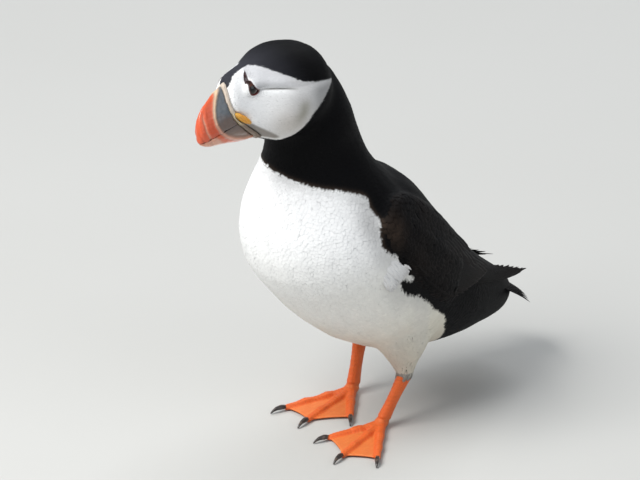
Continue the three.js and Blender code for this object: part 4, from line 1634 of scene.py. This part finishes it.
@dataclass
class Quills:
    """The long feathers of the folded wings and of the tail."""

    places: Places
    marks: Markings
    vane: Vane = Vane(
        rows=12,
        columns=6,
        outline=((0, 0.3), (0.15, 0.75), (0.45, 1), (0.7, 0.9), (0.86, 0.62), (0.95, 0.32), (1, 0.06)),
        camber=0.05,
        relief=0.75,
        spring=1.0,
        droop=0.0,
    )
    tail_vane: Vane = Vane(
        rows=10,
        columns=4,
        outline=((0, 0.3), (0.15, 0.8), (0.5, 1), (0.82, 0.95), (0.94, 0.7), (1, 0.25)),
        camber=0.05,
        relief=0.75,
        spring=1.0,
        droop=0.0,
    )
    # The left wing's corners and its two long edges, in the body's frame.
    bend: tuple = (34, -35, 121)
    tip: tuple = (12, 95, 48.5)
    lower: tuple = ((39, -26, 102), (40, -9, 82), (35, 14, 64), (24, 42, 54), (13, 68, 55.5))
    upper: tuple = ((31, -17, 131), (26, 9, 116), (19, 35, 89), (14, 55, 70), (13, 73, 60.5))
    # Each row of feathers: how many, then pairs that run from its first feather to its last. They are the
    # root's and the tip's place along and up the wing, the width and the height over the wing.
    rows: tuple = (
        (9, (0.4, 0.46), (0.2, 0.6), (1.0, 0.8), (0.5, 0.54), (4.8, 7.2), (0.2, 1.3)),
        (12, (0.2, 0.5), (0.15, 0.75), (0.52, 0.74), (0.08, 0.64), (8.0, 6.8), (1.3, 2.1)),
        (3, (0.36, 0.4), (0.6, 0.7), (0.56, 0.62), (0.58, 0.62), (9.0, 9.0), (2.0, 2.3)),
        (14, (0.1, 0.38), (0.25, 0.8), (0.33, 0.57), (0.08, 0.82), (6.2, 6.2), (2.4, 2.8)),
    )
    tail_count: int = 14
    seed: int = 40

    def _on_wing(self, t: Array, s: Array) -> Array:
        """Points of the left wing: t from the bend to the tip, s from the lower edge to the upper."""
        low, high = (smooth_line([self.bend, *edge, self.tip], t) for edge in (self.lower, self.upper))
        return low * (1 - s)[:, None] + high * s[:, None]

    def _roots(self, side: int, name: str) -> Roots:
        """The feathers of one wing.

        Args:
            side: 1 for the left wing, -1 for the right.
            name: The side's name.

        Returns:
            The feathers.
        """
        tree = cad_tree(f"wing_{name}", f"primaries_{name}")
        outward = unit(np.array([side * 0.9, 0.1, 0.42]))
        mirror = np.array([side, 1, 1])
        parts: list[list[Array]] = [[] for _ in range(5)]
        for count, *pairs in self.rows:
            order = np.linspace(0, 1, count)
            t0, s0, t1, s1, width, height = (low + (high - low) * order for low, high in pairs)
            lines = []
            for share in (0.0, 0.5, 1.0):
                spot = self._on_wing(t0 + (t1 - t0) * share, s0 + (s1 - s0) * share)
                spot = self.places.from_body(spot * mirror)
                for i, p in enumerate(spot):
                    hit = tree.ray_cast(Vector(p + outward * 0.05), Vector(-outward), 0.1)
                    if hit[0] is not None:
                        spot[i] = np.array(hit[0])
                sink = -1.6 * MM * (1 - share)
                lines.append(spot + outward * ((height * 0.35 - 0.9) * MM + sink)[:, None])
            for store, value in zip(parts, (*lines, width * MM, np.full(len(width), 0.0))):
                store.append(value)
        start, middle, end, width, lift = (np.concatenate(p) for p in parts)
        n = len(start)
        flat = np.stack([np.linspace(0.02, 0.98, n), np.full(n, 0.5 + side * 0.2)], 1)
        facing = np.tile(outward, (n, 1))
        return Roots(start, middle, end, (facing,) * 3, width, lift, flat)

    def _tail(self) -> Roots:
        """The short round fan of the tail, its middle feathers on top."""
        n = self.tail_count
        k = np.linspace(-1, 1, n)
        order = np.abs(k)
        base = np.stack([5 * k, np.full(n, 60.0), 56 - 1.0 * order], 1)
        tip = np.stack([12.5 * k, 99 - 4.0 * order**2, 32.5 - 1.4 * order**2 + 0.5 * (1 - order)], 1)
        middle = np.stack([14 * k, 80 - 2.0 * order**2, 46.6 - 1.4 * order**2 + 0.5 * (1 - order)], 1)
        spots = [self.places.from_body(p) for p in (base, middle, tip)]
        up = unit(np.stack([0.25 * k, np.full(n, 0.42), np.full(n, 0.9)], 1))
        flat = np.stack([np.linspace(0.05, 0.95, n), np.full(n, 0.08)], 1)
        return Roots(*spots, (up,) * 3, np.full(n, 9.0 * MM), np.zeros(n), flat)

    def _dye(self, _p: Array, which: Array, along: Array) -> Array:
        """Black that fades a little to brown at the tips."""
        made = blend(self.marks.black, self.marks.brown, 0.25 + 0.5 * ramp(along, 0.5, 1))
        return made * (1 + 0.06 * np.sin(which * 2.4))[:, None]

    def build(self, wardrobe: Wardrobe) -> None:
        """Builds both wings' quills and the tail.

        Args:
            wardrobe: The finishes.
        """
        look = wardrobe.get(Look.QUILL)
        for side, name in SIDES:
            mesh = feather_mesh(self._roots(side, name), self.vane, self.seed + side, self._dye)
            piece(f"flight_feathers_{name}", mesh, look, "dark_plumage", f"primaries_{name}")
        mesh = feather_mesh(self._tail(), self.tail_vane, self.seed + 10, self._dye)
        piece("tail_feathers", mesh, look, "dark_plumage", "tail")


# ---- The head's bare pieces ---------------------------------------------------------------------


@dataclass
class Bill:
    """The deep, grooved bill, with its slate base, pale ridge and red tip."""

    places: Places
    voxel: float = 0.42 * MM
    # The edge of the slate plate, seen from the side: how far forward and how high, in the head's frame.
    plate: tuple = (
        (18, 30), (25.5, 15.5), (30.3, 11.8), (33.7, 8.4), (36.4, 4.8), (38, 1.5), (38.9, -2.2), (38.5, -6),
        (36.2, -9.6), (31.6, -12.9), (25.6, -15.4), (18.8, -17), (10, -17.6), (-5, -30), (-20, 0),
    )
    grooves: tuple = (6.0, 9.4)

    def _dress(self, mesh: bpy.types.Mesh, upper: bool) -> None:
        """Carves the ridge and grooves of one half of the bill and paints it.

        Args:
            mesh: The half.
            upper: Whether it is the upper one.
        """
        surface = Surface.of(mesh)
        surface.relax(10, 0.5, 0.95)
        head = self.places.to_head(surface.points)
        forward, height = -head[:, 1], head[:, 2]
        away = signed_distance(np.stack([forward, height], 1), np.array(self.plate, float))
        flank = ramp(np.abs(head[:, 0]), 0.2, 1.6)
        push = 0.42 * hump(away, 0.1, 0.75) - 0.2 * hump(away, -1.5, 0.7)
        push += 0.2 * ramp(away, -2, -6)
        fade = ramp(height, 9, 1)
        for groove in self.grooves:
            banks = hump(away, groove - 1.2, 0.6) + hump(away, groove + 1.2, 0.6)
            push += (0.14 * banks - 0.34 * hump(away, groove, 0.55)) * (0.35 + 0.65 * fade)
        push += 0.05 * ripple(head * [0.4, 1, 1], 2.2, 9)
        surface.points += surface.normals * (push * flank * MM)[:, None]
        surface.write(mesh)
        slate, brown = colour("5d6369"), colour("6a5b55")
        cream, pink = colour("e6c3a0"), colour("dc9d84")
        red, orange, flush = colour("d45a37"), colour("dc683b"), colour("c24d2b")
        base = blend(slate, brown, ramp(height + 1.2 * ripple(head, 9, 11), -0.5, -6.5))
        base = blend(base, colour("846c5e"), 0.85 * ramp(height, -9, -14.0))
        tip = blend(red, orange, 0.55 * ramp(height + 1.5 * ripple(head, 8, 12), -2, 13))
        tip = blend(tip, flush, 0.6 * hump(away, 2.4, 1.7))
        tip = blend(tip, pink, 0.85 * hump(away, self.grooves[0], 0.55) * ramp(height, 2, -4))
        tip = blend(tip, flush, 0.5 * hump(away, self.grooves[0] - 1.0, 0.5) * ramp(height, -2, -8))
        if not upper:
            tip = blend(tip, colour("dfa88f"), 0.9 * ramp(forward, 26, 34) * ramp(away, 2.0, 4.0))
            tip = blend(tip, orange, 0.8 * hump(away, 2.2, 0.8))
        made = blend(base, tip, ramp(away, 0.6, 1.2))
        made = blend(made, blend(cream, pink, ramp(-height, 0, 9)), hump(away, 0.1, 0.8) * 0.95)
        paint(mesh, made)

    def build(self, wardrobe: Wardrobe) -> None:
        """Builds both halves of the bill."""
        for name in ("bill_upper", "bill_lower"):
            mesh = remeshed(cad_copy([name]), self.voxel)
            self._dress(mesh, name == "bill_upper")
            piece(f"{name}_horn", mesh, wardrobe.get(Look.HORN), "bill_horn", name)


@dataclass
class Face:
    """The cere, the rosettes, the eyes with the rims of their lids, and the horny plates over them."""

    places: Places
    skin: Skin
    voxel: float = 0.3 * MM
    gaze: tuple = (0.944, -0.33, 0.02)
    pupil: float = 1.9
    rim: float = 0.2
    plate: tuple = (-18.7, 10.9, 5.0)  # the plate's middle line at its foot: y and z, and its height

    def _soft(self, name: str, wardrobe: Wardrobe, look: Look, slot: str) -> None:
        """The cere or a rosette: a bare, wrinkled strip of skin.

        Args:
            name: The node.
            wardrobe: The finishes.
            look: Its finish.
            slot: Its slot.
        """
        mesh = remeshed(cad_copy([name]), self.voxel)
        surface = Surface.of(mesh)
        surface.relax(8, 0.5, 0.9)
        head = self.places.to_head(surface.points)
        if name == "cere":
            push = 0.04 * ripple(head, 1.7, 21) + 0.02 * ripple(head, 0.9, 22)
            tint = blend(colour("dccdbd"), colour("cdbca8"), ramp(ripple(head, 2.4, 23), -0.5, 1))
            tint = blend(tint, colour("cdbd96"), 0.7 * ramp(-head[:, 2], -1, 5))
            tint = blend(tint, colour("8b7a6d"), 0.95 * ramp(-head[:, 2], 7.5, 10.0))
        else:
            head = self._long_pad(head, 1 if name.endswith("left") else -1)
            surface.points = self.places.from_head(head)
            fold = np.sin((head[:, 1] * 0.62 + head[:, 2] * 0.78) * 6.4 + 0.9 * ripple(head, 3, 24))
            push = 0.05 * fold * ramp(np.abs(head[:, 0]), 6.8, 8.2) + 0.03 * ripple(head, 1.2, 25)
            tint = blend(colour("eeab3e"), colour("e4952a"), ramp(-fold, -0.2, 1))
            tint = blend(tint, colour("dcae4e"), 0.6 * ramp(-head[:, 1], 24.5, 28))
        surface.points += surface.normals * (push * MM)[:, None]
        surface.write(mesh)
        paint(mesh, tint)
        piece(f"{name}_skin", mesh, wardrobe.get(look), slot, name)

    @staticmethod
    def _long_pad(head: Array, side: int) -> Array:
        """Makes a rosette longer and flatter along the gape, where it folds over the cheek.

        Args:
            head: Its points in the head's frame.
            side: 1 for the left, -1 for the right.

        Returns:
            The points, moved.
        """
        centre = np.array([side * 7.1, -23.3, -5.7])
        fall = math.radians(36)
        along = unit(np.array([0.28 * side, math.cos(fall), -math.sin(fall)]))
        across = np.array([0, math.sin(fall), math.cos(fall)])
        off = head - centre
        reach, rise = off @ along, off @ across
        return head + np.outer(0.04 * reach, along) - np.outer(0.12 * rise, across)

    def _eyeball(self, side: int, name: str) -> bpy.types.Mesh:
        """The dark eyeball with its cornea.

        Args:
            side: 1 for the left, -1 for the right.
            name: The side's name.

        Returns:
            The mesh.
        """
        low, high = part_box(f"eye_{name}")
        centre = (np.array(low) + np.array(high)) / 2
        axis = unit(self.places.turn @ np.array([side * self.gaze[0], *self.gaze[1:]]))
        bm = bmesh.new()
        bmesh.ops.create_uvsphere(bm, u_segments=48, v_segments=32, radius=self.skin.eye.radius * MM)
        toward = Vector((0, 0, 1)).rotation_difference(Vector(axis)).to_matrix()
        bmesh.ops.rotate(bm, verts=bm.verts, cent=(0, 0, 0), matrix=toward)
        for vert in bm.verts:
            lean = vert.co.normalized().dot(Vector(axis))
            vert.co *= 1 + 0.04 * max(0.0, (lean - 0.75) / 0.25) ** 0.7
        bmesh.ops.translate(bm, verts=bm.verts, vec=Vector(centre))
        mesh = bpy.data.meshes.new("eye")
        bm.to_mesh(mesh)
        bm.free()
        points = Surface.of(mesh).points - centre
        off = np.linalg.norm(points - (points @ axis)[:, None] * axis, axis=1) / MM
        front = points @ axis > 0
        iris = blend(colour("4a2c22"), colour("2a1812"), ramp(off, 2.4, 3.3))
        tint = np.where((front & (off < 3.4))[:, None], iris, colour("2a1a18"))
        paint(mesh, np.where((front & (off < self.pupil))[:, None], colour("050505"), tint))
        return mesh

    def _rim(self, name: str) -> bpy.types.Mesh:
        """The thin rim of bare skin on the edges of the lids.

        Args:
            name: The side's name.

        Returns:
            The mesh.
        """
        curve = bpy.data.curves.new("rim", "CURVE")
        curve.dimensions = "3D"
        curve.bevel_depth = self.rim * MM
        curve.bevel_resolution = 3
        curve.resolution_u = 4
        spline = curve.splines.new("NURBS")
        spots = self.skin.eye.rims[name]
        spline.points.add(len(spots) - 1)
        head = self.places.to_head(spots)
        for point, spot, (_, y, z) in zip(spline.points, spots, head):
            point.co = (*spot, 1)
            point.radius = 0.5 + 0.3 * ramp(11.0 - z, 0, 4) + 0.3 * hump(np.hypot(y + 16, z - 4.4), 0, 2.5)
        spline.use_cyclic_u = True
        spline.order_u = 4
        step = bpy.data.objects.new("rim", curve)
        bpy.context.scene.collection.objects.link(step)
        mesh = bpy.data.meshes.new_from_object(step.evaluated_get(bpy.context.evaluated_depsgraph_get()))
        bpy.data.objects.remove(step)
        head = self.places.to_head(Surface.of(mesh).points)
        red = hump(np.hypot(head[:, 1] + 16.2, head[:, 2] - 4.6), 0, 3.0)
        pale = hump(np.hypot(head[:, 1] + 13.2, head[:, 2] - 6.4), 0, 0.7)
        paint(mesh, blend(blend(colour("4a3436"), colour("8a3c3a"), red), colour("e0d2b4"), 0.8 * pale))
        return mesh

    def _plate(self, name: str) -> bpy.types.Mesh:
        """The narrow horny plate that stands over the slit of the eye.

        Args:
            name: The side's name.

        Returns:
            The mesh.
        """
        mesh = remeshed(cad_copy([f"eye_plate_{name}"]), 0.16 * MM)
        surface = Surface.of(mesh)
        surface.relax(10, 0.5, 0.9)
        head = self.places.to_head(surface.points)
        foot, start, tall = self.plate
        rise = np.clip((head[:, 2] - start) / tall, 0, 1)
        own = -19.0 + 0.85 * rise
        head[:, 1] = foot + 2.5 * rise + (head[:, 1] - own) * (0.28 - 0.12 * rise)
        tree = self.skin.surface.tree()
        for i, p in enumerate(self.places.from_head(head)):
            near, out, _, _ = tree.find_nearest(Vector(p))
            proud = (Vector(p) - near).dot(out)
            surface.points[i] = np.array(near + out * (0.1 * MM + 0.4 * max(proud - 0.8 * MM, 0)))
        surface.write(mesh)
        paint(mesh, blend(colour("5c4f55"), colour("3f3539"), ramp(ripple(head, 1.5, 33), -0.7, 0.7)))
        return mesh

    def build(self, wardrobe: Wardrobe) -> None:
        """Builds the bare pieces of the face."""
        self._soft("cere", wardrobe, Look.CERE, "cere_skin")
        for side, name in SIDES:
            self._soft(f"rosette_{name}", wardrobe, Look.PAD, "rosette_skin")
            ball = self._eyeball(side, name)
            piece(f"eyeball_{name}", ball, wardrobe.get(Look.EYE), "eyeball", f"eye_{name}")
            piece(f"lid_rim_{name}", self._rim(name), wardrobe.get(Look.LID), "rosette_skin")
            plate = f"eye_plate_{name}"
            piece(f"{plate}_horn", self._plate(name), wardrobe.get(Look.PLATE), "eye_plate_horn", plate)


# ---- Legs and feet ------------------------------------------------------------------------------


@dataclass
class Leg:
    """One bare leg: the scaled tarsus, the toes and the web in one skin, and its three claws."""

    places: Places
    name: str
    side: int
    at: tuple[float, float]
    turn: float
    ankle: tuple[float, float, float]
    toes: tuple = ((-32, 30), (0, 40), (26, 38))
    voxel: float = 0.5 * MM

    @property
    def knee(self) -> tuple[float, float, float]:
        """The hidden top of the thigh, in the body's frame."""
        return (20.0 * self.side, 0.0, 60.0)

    def _local(self, p: Array) -> Array:
        """Points in the foot's frame: the ball at the origin and the middle toe along -y.

        Args:
            p: Points of the row frame.

        Returns:
            The points, in millimetres.
        """
        body = self.places.to_body(p) - np.array([*self.at, 0])
        angle = math.radians(-self.turn)
        c, s = math.cos(angle), math.sin(angle)
        return body @ np.array([[c, -s, 0], [s, c, 0], [0, 0, 1]]).T

    def build(self, wardrobe: Wardrobe) -> None:
        """Builds the leg's skin and the claws.

        Args:
            wardrobe: The finishes.
        """
        nodes = [f"tarsus_{self.name}", f"foot_{self.name}"]
        mesh = remeshed(cad_copy(nodes, 0.16 * MM), self.voxel)
        surface = Surface.of(mesh)
        surface.relax(7, 0.5, 0.85)
        surface.points -= surface.normals * 0.16 * MM
        p = self._local(surface.points)
        toe = np.full(len(p), np.inf)
        along = np.zeros(len(p))
        for angle, length in self.toes:
            way = math.radians(angle * self.side)
            ray = np.array([math.sin(way), -math.cos(way)])
            reach = np.clip(p[:, :2] @ ray, 0, length)
            gap = np.linalg.norm(p[:, :2] - reach[:, None] * ray, axis=1)
            along = np.where(gap < toe, reach, along)
            toe = np.minimum(toe, gap)
        low = ramp(p[:, 2], 6.5, 4)
        on_toe = ramp(toe, 3.0, 1.9) * low
        shank = 1 - low
        top = ramp(surface.normals[:, 2], -0.1, 0.5)
        rings = np.abs(np.sin(along * math.pi / 1.9)) ** 0.6 - 0.6
        hoops = np.abs(np.sin(p[:, 2] * math.pi / 2.1)) ** 0.6 - 0.6
        front = ramp(-surface.normals[:, 1], -0.2, 0.5)
        crease = ripple(p * [1.6, 0.5, 1], 5, 41) * 0.5 + ripple(p, 2.1, 42) * 0.3
        push = 0.2 * rings * on_toe * top + 0.2 * hoops * shank * front
        push += 0.1 * crease * (1 - on_toe) * low * top
        surface.points += surface.normals * (push * MM)[:, None]
        surface.points[:, 2] = np.maximum(surface.points[:, 2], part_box(nodes[1])[0][2])
        surface.write(mesh)
        web, leg, seam = colour("ee7d3a"), colour("ee6a26"), colour("b04412")
        tint = blend(web, leg, np.maximum(on_toe, shank))
        tint = blend(tint, colour("f79a55"), 0.35 * ramp(crease, 0.1, 0.6) * (1 - on_toe) * low)
        tint = blend(tint, seam, 0.45 * (1 - ramp(rings, -0.6, -0.1)) * on_toe * top)
        tint = blend(tint, seam, 0.4 * (1 - ramp(hoops, -0.6, -0.1)) * shank * front)
        # Painted shade: the undersides and sides of the toes and web are a deeper orange.
        tint = blend(tint, colour("c9571c"), 0.5 * (1 - top) * low)
        paint(mesh, tint)
        piece(f"bare_leg_{self.name}", mesh, wardrobe.get(Look.FOOT), "foot_skin", *nodes)
        for toe_name in ("inner", "middle", "outer"):
            node = f"claw_{toe_name}_{self.name}"
            claw = remeshed(cad_copy([node]), 0.16 * MM)
            smooth = Surface.of(claw)
            smooth.relax(14, 0.5, 0.92)
            smooth.points[:, 2] = np.maximum(smooth.points[:, 2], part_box(node)[0][2])
            smooth.write(claw)
            q = self._local(smooth.points)
            paint(claw, blend(colour("2c2523"), colour("54463d"), ramp(ripple(q, 2.4, 43), 0, 1)))
            piece(f"{node}_horn", claw, wardrobe.get(Look.CLAW), "claw_horn", node)


# ---- The studio ---------------------------------------------------------------------------------


@dataclass(frozen=True)
class Studio:
    """A pale floor, soft light and the camera."""

    target: tuple[float, float, float]
    azimuth: float = 45
    elevation: float = 25
    distance: float = 10.0
    view_width: float = 0.3052
    # Each light's azimuth, elevation, distance, size, power and colour, and the height that they face.
    lights: dict = field(
        default_factory=lambda: {
            "key": (-10, 50, 1.6, 0.9, 31, (1.0, 0.99, 0.97)),
            "fill": (95, 30, 1.8, 1.2, 4.5, (0.95, 0.97, 1.0)),
            "rim": (200, 45, 1.6, 0.8, 9, (0.95, 0.97, 1.0)),
        }
    )
    light_aim: float = 0.1

    @staticmethod
    def _place(
        obj: bpy.types.Object, middle: Vector, azimuth: float, elevation: float, distance: float
    ) -> None:
        """Puts a light or the camera round a middle, so that it faces it."""
        a, e = math.radians(azimuth), math.radians(elevation)
        away = Vector((math.sin(a) * math.cos(e), -math.cos(a) * math.cos(e), math.sin(e)))
        turn = away.to_track_quat("Z", "Y").to_matrix().to_4x4()
        obj.matrix_world = Matrix.Translation(middle + away * distance) @ turn
        bpy.context.scene.collection.objects.link(obj)

    def build(self, wardrobe: Wardrobe) -> None:
        """Builds the floor, the lights, the world and the camera.

        Args:
            wardrobe: The finishes.
        """
        bm = bmesh.new()
        bmesh.ops.create_grid(bm, x_segments=40, y_segments=40, size=5.0)
        mesh = bpy.data.meshes.new("floor")
        bm.to_mesh(mesh)
        bm.free()
        mesh.materials.append(self._floor_material(wardrobe))
        floor = bpy.data.objects.new("floor", mesh)
        bpy.context.scene.collection.objects.link(floor)
        for name, (azimuth, elevation, distance, size, power, tint) in self.lights.items():
            data = bpy.data.lights.new(name, "AREA")
            data.shape = "SQUARE"
            data.size, data.energy, data.color = size, power, tint
            obj = bpy.data.objects.new(name, data)
            self._place(obj, Vector((0, 0, self.light_aim)), azimuth, elevation, distance)
        world = bpy.data.worlds.new("studio")
        world.use_nodes = True
        world.node_tree.nodes["Background"].inputs[0].default_value = (0.86, 0.9, 0.95, 1)
        world.node_tree.nodes["Background"].inputs[1].default_value = 0.45
        bpy.context.scene.world = world
        data = bpy.data.cameras.new("camera")
        data.sensor_width = 36
        data.lens = 36 * self.distance / self.view_width
        data.clip_end = 50
        camera = bpy.data.objects.new("camera", data)
        self._place(camera, Vector(self.target), self.azimuth, self.elevation, self.distance)
        bpy.context.scene.camera = camera
        bpy.context.scene.view_settings.view_transform = "Standard"

    @staticmethod
    def _floor_material(wardrobe: Wardrobe) -> bpy.types.Material:
        """Matt pale card with a faint grain."""
        material = bpy.data.materials.new("floor_card")
        material.use_nodes = True
        g = Graph(material.node_tree)
        mottle = g.add("Group", {"node_tree": wardrobe.effects.mottle}, Patch=3.0, Grain=300.0).outputs
        shader = material.node_tree.nodes["Principled BSDF"]
        shade = g.mix(mottle["Cloud"], (0.50, 0.50, 0.48, 1), (0.54, 0.54, 0.525, 1))
        g.tree.links.new(shade, shader.inputs["Base Color"])
        shader.inputs["Roughness"].default_value = 0.9
        return material


def main() -> None:
    """Builds the bird and the studio in order."""
    logging.basicConfig(level=logging.INFO, format="%(message)s")
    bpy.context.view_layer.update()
    wardrobe = Wardrobe()
    places = Places()
    marks = Markings(places)
    skin = Skin(places, marks, Eye())
    skin.build(wardrobe)
    coat = Coat(skin, marks)
    coat.build(wardrobe)
    legs = (
        Leg(places, "left", 1, (16.5, -9), 16, (21.5, 2, 26.5)),
        Leg(places, "right", -1, (-20.5, 8), 12, (-23.2, 17, 28)),
    )
    Fringes(coat).build(wardrobe, legs)
    Quills(places, marks).build(wardrobe)
    Bill(places).build(wardrobe)
    Face(places, skin).build(wardrobe)
    for leg in legs:
        leg.build(wardrobe)
    Studio(tuple(places.from_body([-37.38, 3.58, 76.94]).tolist())).build(wardrobe)


if __name__ == "__main__":
    main()
